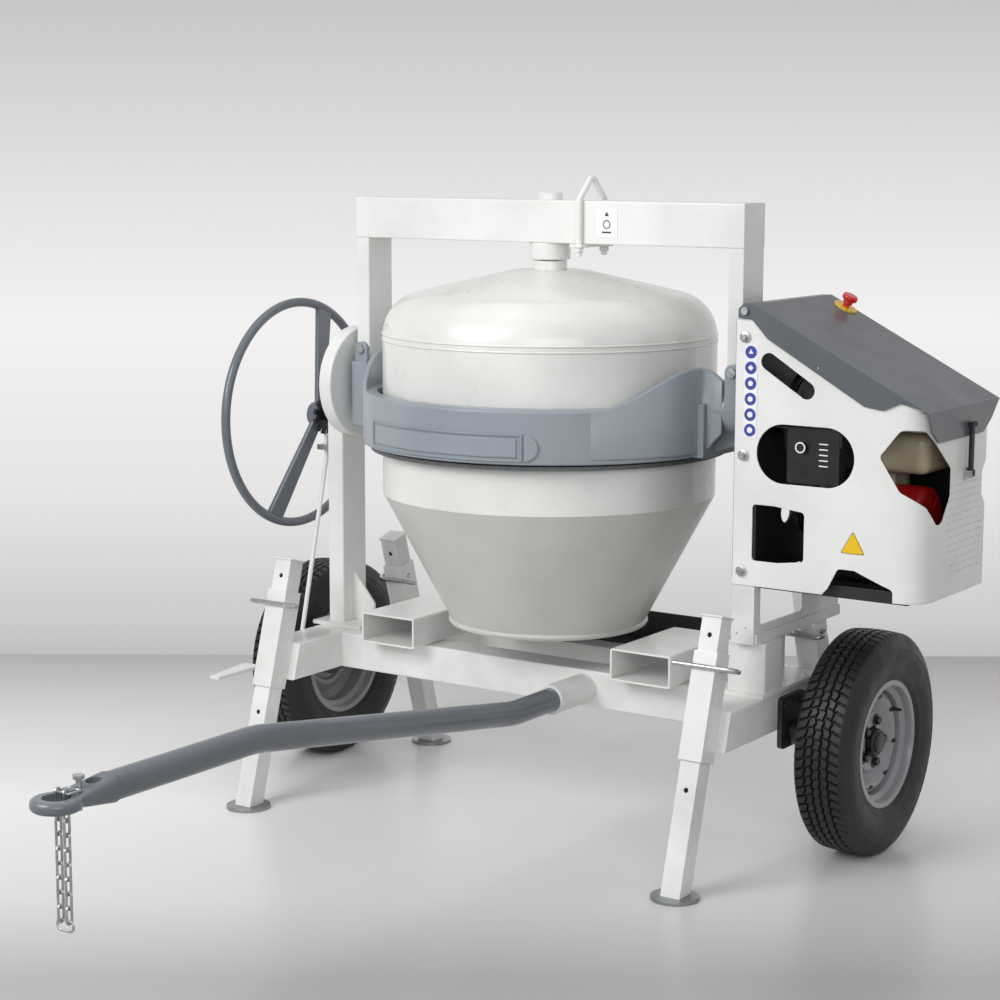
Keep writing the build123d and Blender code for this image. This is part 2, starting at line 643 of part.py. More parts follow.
def yoke_band():
    span = BAND_OUTER_R + 10
    outer = rod_z(BAND_OUTER_R, BAND_BOTTOM_Z, BAND_TOP_Z, 0, 0)
    outer = chamfer(outer.edges().group_by(Axis.Z)[-1], 6)
    inner = rod_z(BAND_INNER_R, BAND_BOTTOM_Z - 1, BAND_TOP_Z - BAND_WALL, 0, 0)
    throat = rod_z(DRUM_R + 14, BAND_BOTTOM_Z - 1, BAND_TOP_Z + 1, 0, 0)
    band = outer - inner - throat
    return band - block(-span, span, 20, span, BAND_BOTTOM_Z - 1, BAND_TOP_Z + 1)


def yoke_side():
    """Right end of the yoke: shoulder, boss and the two lugs around the arch post."""
    x0 = BAND_INNER_R + 2
    x1 = ARCH_HALF_X - 6
    post_x0 = ARCH_HALF_X - ARCH_POST_X
    half = ARCH_DEPTH / 2
    side = block(x0, x0 + 26, -78, 78, BAND_BOTTOM_Z, BAND_TOP_Z)
    side += rod_x(BOSS_R, x0, x1, 0, TILT_Z)
    side += prism_y([(x0, BAND_BOTTOM_Z), (x0, TILT_Z), (x1, TILT_Z), (x1, BAND_BOTTOM_Z + 40)], -16, 16)
    for front in (-1, 1):
        lug = block(post_x0, ARCH_HALF_X, front * half, front * (half + LUG_THICK), TILT_Z, LUG_BOLT_Z)
        cap = rod_y(ARCH_POST_X / 2, front * half, front * (half + LUG_THICK), ARCH_HALF_X - ARCH_POST_X / 2,
                    LUG_BOLT_Z)
        side += lug + cap
    return side


def pinion_hood():
    """Half shell over the drum pinion."""
    x0 = DRUM_R + 5
    x1 = BAND_INNER_R + 4
    shell = rod_x(PINION_R + 18, x0, x1, 0, TILT_Z)
    return shell & block(x0, x1, -80, 80, TILT_Z, TILT_Z + 90)


def yoke():
    web_x = ARCH_HALF_X
    half = ARCH_DEPTH / 2
    web = prism_y([(-web_x, BAND_BOTTOM_Z + 6), (-web_x, TILT_Z + 60), (-web_x + 44, TILT_Z + 60),
                   (-BAND_INNER_R - 28, BAND_TOP_Z), (-BAND_INNER_R, BAND_TOP_Z), (-BAND_INNER_R, BAND_BOTTOM_Z)],
                  -half - LUG_THICK - 14, -half - 4)
    body = yoke_band() + yoke_side() + flipped(yoke_side()) + pinion_hood() + web
    body -= rod_x(PINION_R + 12, DRUM_R, BAND_INNER_R + 1, 0, TILT_Z)
    body -= rod_x(DRIVE_TUBE_R + SEAT_GAP, BAND_INNER_R - 1, ARCH_HALF_X + 1, 0, TILT_Z)
    body -= rod_x(TRUNNION_R + SEAT_GAP, -ARCH_HALF_X - 1, -BAND_INNER_R - 20, 0, TILT_Z)
    body -= rod_z(DRUM_R + 6, BAND_BOTTOM_Z - 1, TILT_Z + 200, 0, 0)
    for side in (-1, 1):
        x = side * (ARCH_HALF_X - ARCH_POST_X / 2)
        body -= rod_y(LUG_BOLT_R, -half - 60, half + 60, x, LUG_BOLT_Z)
    return body


def yoke_bolts():
    bolts = []
    reach = ARCH_DEPTH / 2 + LUG_THICK
    for side in (-1, 1):
        x = side * (ARCH_HALF_X - ARCH_POST_X / 2)
        shank = rod_y(LUG_BOLT_R - SEAT_GAP, -reach, reach, x, LUG_BOLT_Z)
        head = hex_bolt_y(x, -reach, LUG_BOLT_Z, 12, -1)
        nut = hex_bolt_y(x, reach, LUG_BOLT_Z, 12, 1)
        bolts.append(shank + head + nut)
    return Compound(children=bolts)


def trunnions():
    left = rod_x(TRUNNION_R, -BAND_INNER_R - 20, POST_X0 - 8, 0, TILT_Z)
    right = rod_x(DRIVE_TUBE_R, BAND_INNER_R, CARRIER_X1 + 20, 0, TILT_Z)
    right -= rod_x(DRIVE_SHAFT_R + PIN_FIT, BAND_INNER_R - 1, CARRIER_X1 + 21, 0, TILT_Z)
    return Compound(children=[left, right])


def tilt_wheel():
    x0 = tilt_gear_x()
    wheel = gear_on_x(TILT_WHEEL_TEETH, TILT_MODULE, TILT_TOOTH_SHARE, x0, x0 + TILT_FACE, 0, TILT_Z, 0)
    return wheel - rod_x(TRUNNION_R, x0 - 1, x0 + TILT_FACE + 1, 0, TILT_Z)


def tilt_gear_x():
    return POST_X1 + COVER_SHEET + 4


# ---- drum ---------------------------------------------------------------------------------------
def drum_dome_solid(inset):
    """Cylinder and dome, moved inwards by the inset."""
    outer = DRUM_R - inset
    top = DOME_TOP_Z - inset
    turn = math.radians(90 - DOME_SLOPE) / 2
    corner_z = SEAM_Z + SHOULDER_R * math.tan(turn) + 1
    flat_r = outer - (top - corner_z) / math.tan(math.radians(DOME_SLOPE))
    low = CONE_TOP_Z - (1 if inset else 0)
    corners = [(outer, 0, low), (outer, 0, corner_z), (flat_r, 0, top), (0, 0, top)]
    rim = FilletPolyline(*corners, radius=[SHOULDER_R - inset, 60])
    closing = Polyline(corners[-1], (0, 0, low), corners[0])
    face = make_face(Curve() + [rim, closing])
    return revolve(face, Axis.Z, 360)


def drum_shell():
    shell = drum_dome_solid(0) - drum_dome_solid(DRUM_WALL)
    for offset in (-7, 7):
        bead = Pos(0, 0, SEAM_Z + offset) * Torus(DRUM_R, 2.2)
        shell += bead - rod_z(DRUM_R - 1, SEAM_Z - 20, SEAM_Z + 20, 0, 0)
    return shell - rod_z(HUB_SHAFT_R, DOME_TOP_Z - 20, DOME_TOP_Z + 1, 0, 0)


def drum_cone():
    """Cone and the rolled mouth."""
    outer = [(MOUTH_R, MOUTH_Z), (DRUM_R, CONE_TOP_Z), (DRUM_R - DRUM_WALL, CONE_TOP_Z), (MOUTH_R - DRUM_WALL, MOUTH_Z)]
    face = make_face(Polyline(*[(x, 0, z) for x, z in outer], close=True))
    cone = revolve(face, Axis.Z, 360)
    return cone + Pos(0, 0, MOUTH_Z) * Torus(MOUTH_R, MOUTH_ROLL_R)


def crown_gear():
    """Ring around the drum with teeth that point up."""
    outer = CROWN_R + CROWN_FACE / 2
    inner = CROWN_R - CROWN_FACE / 2
    root_z = CROWN_Z - DRIVE_MODULE * 1.2
    tip_z = CROWN_Z + DRIVE_MODULE * 0.92
    ring = rod_z(outer, root_z - 12, root_z, 0, 0) - rod_z(DRUM_R + SEAT_GAP, root_z - 13, root_z + 1, 0, 0)
    half = math.pi * DRIVE_MODULE * DRIVE_TOOTH_SHARE / 2
    lean = math.tan(math.radians(20))
    wide = half + (CROWN_Z - root_z) * lean
    slim = half - (tip_z - CROWN_Z) * lean
    tooth = prism_x([(-wide, root_z - 0.5), (wide, root_z - 0.5), (slim, tip_z), (-slim, tip_z)], inner, outer - 0.5)
    teeth = []
    for index in range(CROWN_TEETH):
        teeth.append(Rot(0, 0, 360 * (index + 0.5) / CROWN_TEETH) * tooth)
    return ring.fuse(*teeth)


def drum_flange():
    flange = rod_z(DRUM_R + 30, BAND_BOTTOM_Z - 16, BAND_BOTTOM_Z - 6, 0, 0)
    return flange - rod_z(DRUM_R + SEAT_GAP, BAND_BOTTOM_Z - 17, BAND_BOTTOM_Z - 5, 0, 0)


def drum_hub():
    """Shaft and collar that hang the drum from the arch."""
    under = ARCH_TOP_Z - ARCH_BEAM_H
    shaft = rod_z(HUB_SHAFT_R, DOME_TOP_Z - 20, ARCH_TOP_Z - 3, 0, 0)
    collar = rod_z(42, DOME_TOP_Z, under - 42 - 3, 0, 0)
    plate = rod_z(80, DOME_TOP_Z - DRUM_WALL - 8, DOME_TOP_Z - DRUM_WALL, 0, 0)
    return shaft + collar + plate


def mixing_blades():
    inner = rod_z(DRUM_R - DRUM_WALL - SEAT_GAP, CONE_TOP_Z, SEAM_Z, 0, 0)
    blade = Pos(DRUM_R - 75, 0, (CONE_TOP_Z + SEAM_Z) / 2 - 30) * Rot(24, 0, 0) * Box(150, 6, 300)
    blade = blade & inner
    return Compound(children=[Rot(0, 0, 120 * index) * blade for index in range(3)])


# ---- drive --------------------------------------------------------------------------------------
def drum_pinion():
    x0 = CROWN_R - CROWN_FACE / 2
    gear = gear_on_x(PINION_TEETH, DRIVE_MODULE, DRIVE_TOOTH_SHARE, x0, x0 + CROWN_FACE, 0, TILT_Z, 180)
    return gear + rod_x(DRIVE_SHAFT_R, x0, PULLEY_X1, 0, TILT_Z)


def driven_pulley():
    wheel = rod_x(DRIVEN_PULLEY_R, PULLEY_X0, PULLEY_X1, 0, TILT_Z)
    return wheel - rod_x(DRIVE_SHAFT_R, PULLEY_X0 - 1, PULLEY_X1 + 1, 0, TILT_Z)


def engine_pulley():
    """Small pulley and the crankshaft that carries it."""
    shaft = rod_x(CRANK_R, PULLEY_X1 - 1, ENGINE_X0 + CRANK_DEPTH, 0, CRANK_Z)
    return rod_x(ENGINE_PULLEY_R, PULLEY_X0, PULLEY_X1, 0, CRANK_Z) + shaft


def belt_outline(grow):
    """Outline around both pulleys, in the YZ plane."""
    big = DRIVEN_PULLEY_R + grow
    small = ENGINE_PULLEY_R + grow
    centres = TILT_Z - CRANK_Z
    lean = math.asin((big - small) / centres)
    side = math.cos(lean)
    rise = math.sin(lean)
    points = [(big * side, TILT_Z - big * rise), (small * side, CRANK_Z - small * rise),
              (-small * side, CRANK_Z - small * rise), (-big * side, TILT_Z - big * rise)]
    x0 = PULLEY_X0 + 3
    x1 = PULLEY_X1 - 3
    return prism_x(points, x0, x1) + rod_x(big, x0, x1, 0, TILT_Z) + rod_x(small, x0, x1, 0, CRANK_Z)


def drive_belt():
    return belt_outline(BELT_THICK + BELT_GAP) - belt_outline(BELT_GAP)


# ---- handwheel and lock -------------------------------------------------------------------------
def handwheel():
    hub_x = HANDWHEEL_HUB_X
    rim_x = hub_x - HANDWHEEL_DISH
    rim = Pos(rim_x, 0, HANDWHEEL_Z) * Rot(0, 90, 0) * Torus(HANDWHEEL_R, HANDWHEEL_TUBE_R)
    wheel = rim + rod_x(32, hub_x - 16, hub_x + 16, 0, HANDWHEEL_Z)
    turn = math.radians(SPOKE_LEAN)
    for side in (-1, 1):
        y = side * math.sin(turn)
        z = side * math.cos(turn)
        start = Vector(hub_x, y * 12, HANDWHEEL_Z + z * 12)
        end = Vector(rim_x, y * HANDWHEEL_R, HANDWHEEL_Z + z * HANDWHEEL_R)
        along = (end - start).normalized()
        tangent = Vector(0, z, -y)
        near = Plane(start, x_dir=tangent, z_dir=along) * RectangleRounded(36, 14, 5)
        far = Plane(end, x_dir=tangent, z_dir=along) * RectangleRounded(58, 16, 5)
        wheel += loft([near, far])
    return wheel - rod_x(HANDWHEEL_SHAFT_R, hub_x - 17, hub_x + 200, 0, HANDWHEEL_Z)


def tilt_pinion():
    x0 = tilt_gear_x()
    gear = gear_on_x(TILT_PINION_TEETH, TILT_MODULE, TILT_TOOTH_SHARE, x0, x0 + TILT_FACE, 0, HANDWHEEL_Z,
                     180 / TILT_PINION_TEETH)
    return gear + rod_x(HANDWHEEL_SHAFT_R, HANDWHEEL_HUB_X - 16, x0 + TILT_FACE, 0, HANDWHEEL_Z)


def lock_disc():
    disc = rod_x(LOCK_R, LOCK_X - LOCK_THICK / 2, LOCK_X + LOCK_THICK / 2, 0, HANDWHEEL_Z)
    half = PAWL_W / 2 + 1.0
    notch = block(LOCK_X - LOCK_THICK, LOCK_X + LOCK_THICK, -half, half, -LOCK_R - 5, -LOCK_R + LOCK_NOTCH)
    for index in range(12):
        disc -= Pos(0, 0, HANDWHEEL_Z) * Rot(30 * index, 0, 0) * notch
    return disc - rod_x(HANDWHEEL_SHAFT_R, LOCK_X - LOCK_THICK, LOCK_X + LOCK_THICK, 0, HANDWHEEL_Z)


def pawl_tip_z():
    return HANDWHEEL_Z - LOCK_R - 1.0


def lock_rod():
    """Pawl and the long rod down to the pedal."""
    x0 = LOCK_X - LOCK_THICK / 2
    x1 = LOCK_X + LOCK_THICK / 2
    half = PAWL_W / 2
    top = PAWL_GUIDE_Z - PAWL_TRAVEL - ROD_R
    pawl = block(x0, x1, -half, half, top - 2 * ROD_R, pawl_tip_z())
    run = top - ROD_FOOT_Z
    tilt = math.degrees(math.atan2(-ROD_FOOT_Y, run))
    length = math.hypot(ROD_FOOT_Y, run)
    middle = Pos(LOCK_X, ROD_FOOT_Y / 2, ROD_FOOT_Z + run / 2)
    bar = middle * Rot(-tilt, 0, 0) * Cylinder(ROD_R, length)
    eye = rod_x(14, LOCK_X - ROD_R, LOCK_X + ROD_R, ROD_FOOT_Y, ROD_FOOT_Z)
    rod = pawl + bar + eye
    return rod - rod_x(ROD_PIN_R + 1.2, LOCK_X - 8, LOCK_X + 8, ROD_FOOT_Y, ROD_FOOT_Z)


def pedal_lever():
    """Foot lever: bar beside the rod's eye, its pin and the tapered tread."""
    x1 = LOCK_X - ROD_R - 0.8
    x0 = x1 - 8
    bar = prism_x([(PEDAL_PIVOT_Y + 16, PEDAL_PIVOT_Z - 12), (PEDAL_PIVOT_Y + 16, PEDAL_PIVOT_Z + 12),
                   (ROD_FOOT_Y, ROD_FOOT_Z + 14), (PEDAL_ROOT_Y, PEDAL_ROOT_Z + 10), (PEDAL_ROOT_Y, PEDAL_ROOT_Z - 10),
                   (ROD_FOOT_Y, ROD_FOOT_Z - 14)], x0, x1)
    bar -= rod_x(PEDAL_PIN_R + PIN_FIT, x0 - 1, x1 + 1, PEDAL_PIVOT_Y, PEDAL_PIVOT_Z)
    pin = rod_x(ROD_PIN_R, x1, LOCK_X + ROD_R + 4, ROD_FOOT_Y, ROD_FOOT_Z)
    corners = [(x1, PEDAL_ROOT_Y + 14, PEDAL_ROOT_Z), (x1, PEDAL_TIP_Y, PEDAL_ROOT_Z),
               (x1 - 30, PEDAL_TIP_Y, PEDAL_ROOT_Z), (x1 - 52, PEDAL_ROOT_Y, PEDAL_ROOT_Z),
               (x1 - 52, PEDAL_ROOT_Y + 14, PEDAL_ROOT_Z)]
    tread = extrude(make_face(Polyline(*corners, close=True)), amount=8)
    return bar + pin + tread


def pedal_pivot():
    pin = rod_x(PEDAL_PIN_R, -SIDE_OUTER_X, LOCK_X - ROD_R - 12, PEDAL_PIVOT_Y, PEDAL_PIVOT_Z)
    foot = rod_x(16, -SIDE_OUTER_X - 6, -SIDE_OUTER_X, PEDAL_PIVOT_Y, PEDAL_PIVOT_Z)
    return pin + foot


# ---- wheels -------------------------------------------------------------------------------------
def wheel_turned(points, radius=0):
    """Outline of (x, radius) points about the wheel's middle, turned about the right wheel's axle."""
    corners = [(x, 0, r) for x, r in points]
    line = FilletPolyline(*corners, radius=radius, close=True) if radius else Polyline(*corners, close=True)
    ring = revolve(make_face(line), Axis.X, 360)
    return Pos(WHEEL_X, WHEEL_Y, WHEEL_Z) * ring


def tyre():
    half = TYRE_W / 2
    seat = RIM_R + 1.5
    points = [(-half + 19, seat), (-half + 19, seat + 14), (-half + 3, seat + 38), (-half, seat + 70),
              (-half + 6, WHEEL_R - 16), (-half + 20, WHEEL_R), (half - 20, WHEEL_R), (half - 6, WHEEL_R - 16),
              (half, seat + 70), (half - 3, seat + 38), (half - 19, seat + 14), (half - 19, seat)]
    return wheel_turned(points)


def rim():
    half = TYRE_W / 2 - 19
    seat = RIM_R + 1.5 - SEAT_GAP
    barrel = [(-half - 5, seat - 5), (-half - 5, seat + 11), (-half - 0.4, seat + 11), (-half - 0.4, seat),
              (half + 0.4, seat), (half + 0.4, seat + 11), (half + 5, seat + 11), (half + 5, seat - 5)]
    disc = [(8, seat - 4), (20, seat - 4), (20, 118), (10, 112), (10, 92), (2, 86), (2, 66), (8, 60), (8, HUB_R),
            (2, HUB_R), (2, 56), (-4, 62), (-4, 88), (4, 94), (4, 114), (8, 120)]
    return wheel_turned(barrel) + wheel_turned(disc)


def wheel_hub():
    """Bearing hub with its dust cap and four wheel nuts."""
    hub = rod_x(HUB_R, WHEEL_X - 40, WHEEL_X + STUB_REACH + 10, WHEEL_Y, WHEEL_Z)
    hub = fillet(hub.edges().group_by(Axis.X)[-1], 6)
    hub += rod_x(52, WHEEL_X - 14, WHEEL_X + 2, WHEEL_Y, WHEEL_Z)
    hub -= rod_x(STUB_R + PIN_FIT, WHEEL_X - 41, WHEEL_X + STUB_REACH + 2, WHEEL_Y, WHEEL_Z)
    for index in range(4):
        turn = Pos(0, WHEEL_Y, WHEEL_Z) * Rot(90 * index + 45, 0, 0)
        hub += turn * rod_x(WHEEL_NUT_R, WHEEL_X + 8, WHEEL_X + 20, 0, WHEEL_NUT_CIRCLE_R)
    return hub


# ---- legs ---------------------------------------------------------------------------------------
def leg(side, foot_y, lean):
    place = leg_frame(foot_y, lean)
    length = along_leg(LEG_TOP_Z)
    tube = Pos(LEG_X, 0, length / 2 - 20) * Box(LEG_SIZE, LEG_SIZE, length + 40)
    core = LEG_SIZE - 2 * LEG_WALL
    tube -= Pos(LEG_X, 0, length / 2 - 20 - LEG_WALL) * Box(core, core, length + 40)
    for step in range(LEG_STEPS + 1):
        tube -= rod_x(LEG_PIN_R + LEG_PIN_CLEAR, LEG_X - 40, LEG_X + 40, 0, leg_pin_offset() - step * LEG_PITCH)
    for z in (LEG_TOP_Z - 40, 235):
        tube -= rod_y(LEG_PIN_R, -40, 0, LEG_X, along_leg(z))
    tube = place * tube
    tube -= block(LEG_X - 100, LEG_X + 100, foot_y - 300, foot_y + 300, -200, FOOT_THICK)
    cap = place * Pos(LEG_X, 0, length + 2) * Box(LEG_SIZE + 6, LEG_SIZE + 6, 4)
    foot = rod_z(FOOT_R, 0, FOOT_THICK, LEG_X, foot_y)
    piece = tube + cap + foot
    return piece if side > 0 else flipped(piece)


def leg_pin(side, foot_y, lean):
    """Bent wire: one end through the leg, the other across the sleeve's front face."""
    z = leg_pin_offset()
    half = SLEEVE_SIZE / 2
    inner = LEG_X - half - 1
    outer = LEG_X + half + (LEG_PIN_REACH if lean < 0 else LEG_PIN_REACH_REAR)
    front = -half - LEG_PIN_R - 0.6
    path = FilletPolyline((inner, 0, z), (outer, 0, z), (outer, front, z), (inner - LEG_PIN_TAIL, front, z), radius=15)
    wire = sweep(Plane((inner, 0, z), z_dir=(1, 0, 0)) * Circle(LEG_PIN_R), path=path)
    piece = leg_frame(foot_y, lean) * wire
    return piece if side > 0 else flipped(piece)


# ---- engine side --------------------------------------------------------------------------------
def support_pedestal():
    """Box column, inner plate and base plate under the engine carrier."""
    z0 = CHASSIS_TOP_Z + POST_PLATE
    top = CARRIER_BOTTOM_Z
    column = block(585, SIDE_OUTER_X, -130, -40, z0, top)
    column = fillet(column.edges().filter_by(Axis.Z), 6) - block(590, SIDE_OUTER_X - 5, -125, -45, z0 - 1, top - 5)
    plate = block(580, SIDE_OUTER_X + 6, -146, 160, CHASSIS_TOP_Z, z0)
    inner = block(580, 588, -40, 160, z0, top)
    shelf = block(588, CARRIER_X1, 90, 150, top - 8, top)
    bolts = []
    for x, y in ((SIDE_OUTER_X - 8, -20), (SIDE_OUTER_X - 8, 90), (SIDE_OUTER_X - 60, 60)):
        bolts.append(Pos(x, y, z0) * extrude(RegularPolygon(9, 6), amount=8))
    return column + plate + inner + shelf + bolts


def engine_carrier():
    """Upright sheet channel that carries the engine, the tilt bearing and the housing."""
    x0 = CARRIER_X1 - CARRIER_SHEET
    top = HOOD_HINGE_Z - 21
    y0 = CARRIER_FRONT_Y
    web = block(x0, CARRIER_X1, y0, CARRIER_REAR_Y, CARRIER_BOTTOM_Z, top)
    front = block(CARRIER_X0, CARRIER_X1, y0, y0 + CARRIER_SHEET, CARRIER_BOTTOM_Z, top)
    rear = block(CARRIER_X0, CARRIER_X1, CARRIER_REAR_Y - CARRIER_SHEET, CARRIER_REAR_Y, CARRIER_BOTTOM_Z, top)
    bar = block(CARRIER_X1, CARRIER_X1 + 6, y0 + 6, CARRIER_REAR_Y, CARRIER_BOTTOM_Z, CARRIER_BOTTOM_Z + 25)
    body = web + front + rear + bar
    for y in (y0, HOOD_REAR_Y - 14):
        ear = rod_y(13, y, y + CARRIER_SHEET, HOOD_HINGE_X, HOOD_HINGE_Z)
        ear += block(HOOD_HINGE_X - 13, HOOD_HINGE_X + 13, y, y + CARRIER_SHEET, top - 30, HOOD_HINGE_Z)
        body += ear
    body += block(HOOD_HINGE_X - 13, x0, HOOD_REAR_Y - 14, HOOD_REAR_Y - 9, top - 30, top)
    body -= block(CARRIER_X0 - 1, CARRIER_X1 + 1, HOOD_REAR_Y - 9, CARRIER_REAR_Y + 1, top - 34, top + 1)
    body -= rod_x(TILT_BEARING_R, x0 - 1, CARRIER_X1 + 1, 0, TILT_Z)
    body -= prism_x([(-122, 578), (92, 578), (92, 700), (-122, 700)], x0 - 1, CARRIER_X1 + 1, radius=14)
    body -= rod_x(CRANK_R + 14, x0 - 1, CARRIER_X1 + 1, 0, CRANK_Z)
    for x, z in ((-12, 560), (10, 575)):
        body -= rod_y(2.5, y0 - 1, y0 + 6, CARRIER_X0 + 28 + x, z)
    return body - hinge_holes(HINGE_PIN_R)


def hinge_holes(radius):
    return rod_y(radius, HOOD_FRONT_Y - 20, HOOD_REAR_Y + 20, HOOD_HINGE_X, HOOD_HINGE_Z)


def tilt_bearing():
    """Flanged bearing on the carrier for the hollow trunnion."""
    x0 = CARRIER_X1 - CARRIER_SHEET
    body = rod_x(TILT_BEARING_R + 16, x0 - 12, x0, 0, TILT_Z) + rod_x(TILT_BEARING_R, x0, CARRIER_X1 + 12, 0, TILT_Z)
    return body - rod_x(DRIVE_TUBE_R + PIN_FIT, x0 - 13, CARRIER_X1 + 13, 0, TILT_Z)


def engine_tray():
    z0 = TRAY_Z
    tray = block(CARRIER_X1, TRAY_X1, TRAY_FRONT_Y, TRAY_REAR_Y, z0, z0 + 5)
    for y in (TRAY_FRONT_Y, TRAY_REAR_Y - 4):
        tray += block(CARRIER_X1, TRAY_X1, y, y + 4, z0, z0 + 28)
    return tray


def engine_block():
    """Crankcase, finned cylinder and feet."""
    z0 = TRAY_Z + 5
    x0 = ENGINE_X0
    case = block(x0, x0 + 170, -70, 90, z0 + 20, ENGINE_TOP_Z)
    case = fillet(case.edges().filter_by(Axis.X), 16)
    case -= rod_x(CRANK_R + PIN_FIT, x0 - 1, x0 + CRANK_DEPTH + 2, 0, CRANK_Z)
    for y in (-58, 50):
        case += block(x0 + 10, x0 + 160, y, y + 28, z0, z0 + 30)
    case += block(x0 + 30, x0 + 130, -40, 60, 890, 930)
    for index in range(6):
        z = 760 + 22 * index
        case += block(x0 + 20, x0 + 150, -96, -66, z, z + 6)
    case += block(x0 + 50, x0 + 120, -88, -66, 755, 880)
    return case


def recoil_cover():
    """Red fan cover on the outer end of the engine."""
    x0 = ENGINE_X0 + 170
    x1 = x0 + 78
    cover = rod_x(RECOIL_R, x0, x1, 10, CRANK_Z)
    cover = fillet(cover.edges().group_by(Axis.X)[-1], 14)
    for index in range(12):
        slot = Pos(0, 10, CRANK_Z) * Rot(30 * index, 0, 0) * block(x1 - 6, x1 + 1, -5, 5, 40, RECOIL_R - 22)
        cover -= slot
    return cover + rod_x(26, x1, x1 + 8, 10, CRANK_Z)


def fuel_tank():
    z1 = TANK_Z + 95
    tank = block(TANK_X0, TANK_X0 + 132, -50, 150, TANK_Z, z1)
    tank = fillet(tank.edges(), 24)
    tank += rod_z(24, z1 - 4, z1 + 14, TANK_X0 + 44, 90)
    for y in (0, 60):
        tank += block(TANK_X0 + 14, TANK_X0 + 34, y, y + 20, ENGINE_TOP_Z, TANK_Z + 12)
    return tank


def air_filter():
    body = block(ENGINE_X0 + 10, TANK_X0 - 10, 40, 150, 930, 1040)
    return fillet(body.edges(), 14)


def muffler():
    body = block(ENGINE_X0 + 20, ENGINE_X0 + 140, 90, 168, 800, 890)
    return fillet(body.edges().filter_by(Axis.X), 18)


def control_box():
    """Switch box on its bent bracket, behind the middle window."""
    box = block(CONTROL_X0, CONTROL_X0 + 130, -140, -106, 922, 1046)
    box = fillet(box.edges().filter_by(Axis.Y), 6)
    box += rod_y(13, -150, -140, CONTROL_X0 + 38, 1006)
    return box


def control_bracket():
    """Bent strip from the carrier over the control box."""
    arm = block(CARRIER_X1, CONTROL_X0 + 132, -142, -106, 1046, 1050)
    drop = block(CONTROL_X0 + 132, CONTROL_X0 + 136, -142, -106, 1010, 1050)
    return arm + drop


def hood_z(x):
    """Height of the hood's top surface at x."""
    return HOOD_HIGH_Z - HOOD_SLOPE * (x - HOOD_HIGH_X)


def panel_body():
    """Bent sheet: front, rounded corner and side, before its openings."""
    outer = block(PANEL_X0, PANEL_X1, PANEL_Y, PANEL_REAR_Y, PANEL_BOTTOM_Z, HOOD_HINGE_Z + 10)
    corner = outer.edges().filter_by(Axis.Z).sort_by(lambda edge: edge.center().X - edge.center().Y)[-1]
    outer = fillet(corner, PANEL_CORNER_R)
    inner = block(PANEL_X0 - 1, PANEL_X1 - PANEL_SHEET, PANEL_Y + PANEL_SHEET, PANEL_REAR_Y + 1,
                  PANEL_BOTTOM_Z - 1, HOOD_HINGE_Z + 11)
    corner = inner.edges().filter_by(Axis.Z).sort_by(lambda edge: edge.center().X - edge.center().Y)[-1]
    return outer - fillet(corner, PANEL_CORNER_R - PANEL_SHEET)


def front_cut(points, radius):
    return prism_y(points, PANEL_Y - 5, PANEL_Y + 8, radius=radius)


def housing_panel():
    top = HOOD_HINGE_Z - 21
    panel = panel_body()
    roof = prism_y([(PANEL_X0 - 5, top), (HOOD_HINGE_X + 22, top), (HOOD_HINGE_X + 29, hood_z(HOOD_HINGE_X + 29) - 12),
                    (PANEL_X1 + 5, hood_z(PANEL_X1 + 5) - 12), (PANEL_X1 + 5, 1400), (PANEL_X0 - 5, 1400)],
                   PANEL_Y - 5, PANEL_REAR_Y + 5)
    panel -= roof
    panel += rod_y(13, PANEL_Y, PANEL_Y + PANEL_SHEET, HOOD_HINGE_X, HOOD_HINGE_Z)
    panel += block(HOOD_HINGE_X - 13, HOOD_HINGE_X + 13, PANEL_Y, PANEL_Y + PANEL_SHEET, top - 10, HOOD_HINGE_Z)
    panel -= front_cut([(820, 660), (850, 690), (875, 739), (915, 739), (985, 712), (1010, 704), (1010, 660)], 12)
    slot_run = math.hypot(99, 62)
    slot_turn = math.degrees(math.atan2(62, 99))
    slot_face = SlotOverall(slot_run + 36, 40)
    slot = Pos(740, PANEL_Y + 8, 1166) * Rot(90, 0, 0) * Rot(0, 0, -slot_turn) * extrude(slot_face, amount=14)
    window_face = SlotOverall(244, 136)
    window = Pos(787, PANEL_Y + 8, 988) * Rot(90, 0, 0) * extrude(window_face, amount=14)
    panel -= slot
    panel -= window
    panel -= front_cut([(657, 736), (657, 867), (712, 867), (789, 858), (789, 745), (720, 736)], 9)
    panel -= corner_window()
    panel -= [rod_x(2.4, PANEL_X1 - 10, PANEL_X1 + 5, y, z) for y, z in vent_places()]
    panel -= prism_x([(PANEL_REAR_Y + 5, 975), (PANEL_REAR_Y - 22, 940), (PANEL_REAR_Y - 22, 890),
                      (PANEL_REAR_Y + 5, 860)], PANEL_X1 - 10, PANEL_X1 + 5)
    panel -= hinge_holes(HINGE_PIN_R)
    return panel


def corner_window():
    """Curved opening around the rounded corner, cut along the corner's own diagonal."""
    outline = [(576, 1000), (612, 1064), (662, 1062), (752, 968), (752, 905), (722, 850), (702, 846), (668, 892),
               (612, 925)]
    half = math.sqrt(0.5)
    corners = [(w * half, w * half, z) for w, z in outline]
    face = make_face(FilletPolyline(*corners, radius=16, close=True))
    start = (PANEL_X1 - PANEL_Y - 150) / 2
    cut = extrude(face, amount=400, dir=(half, -half, 0))
    return Pos(start, -start, 0) * cut


def vent_places():
    places = []
    for row in range(13):
        z = 926 - 16.5 * row
        first = -40 + 6 * abs(row - 5)
        for column in range(13):
            y = first + 16.5 * column + (8 if row % 2 else 0)
            if y < 168 and z > 722:
                places.append((y, z))
    return places


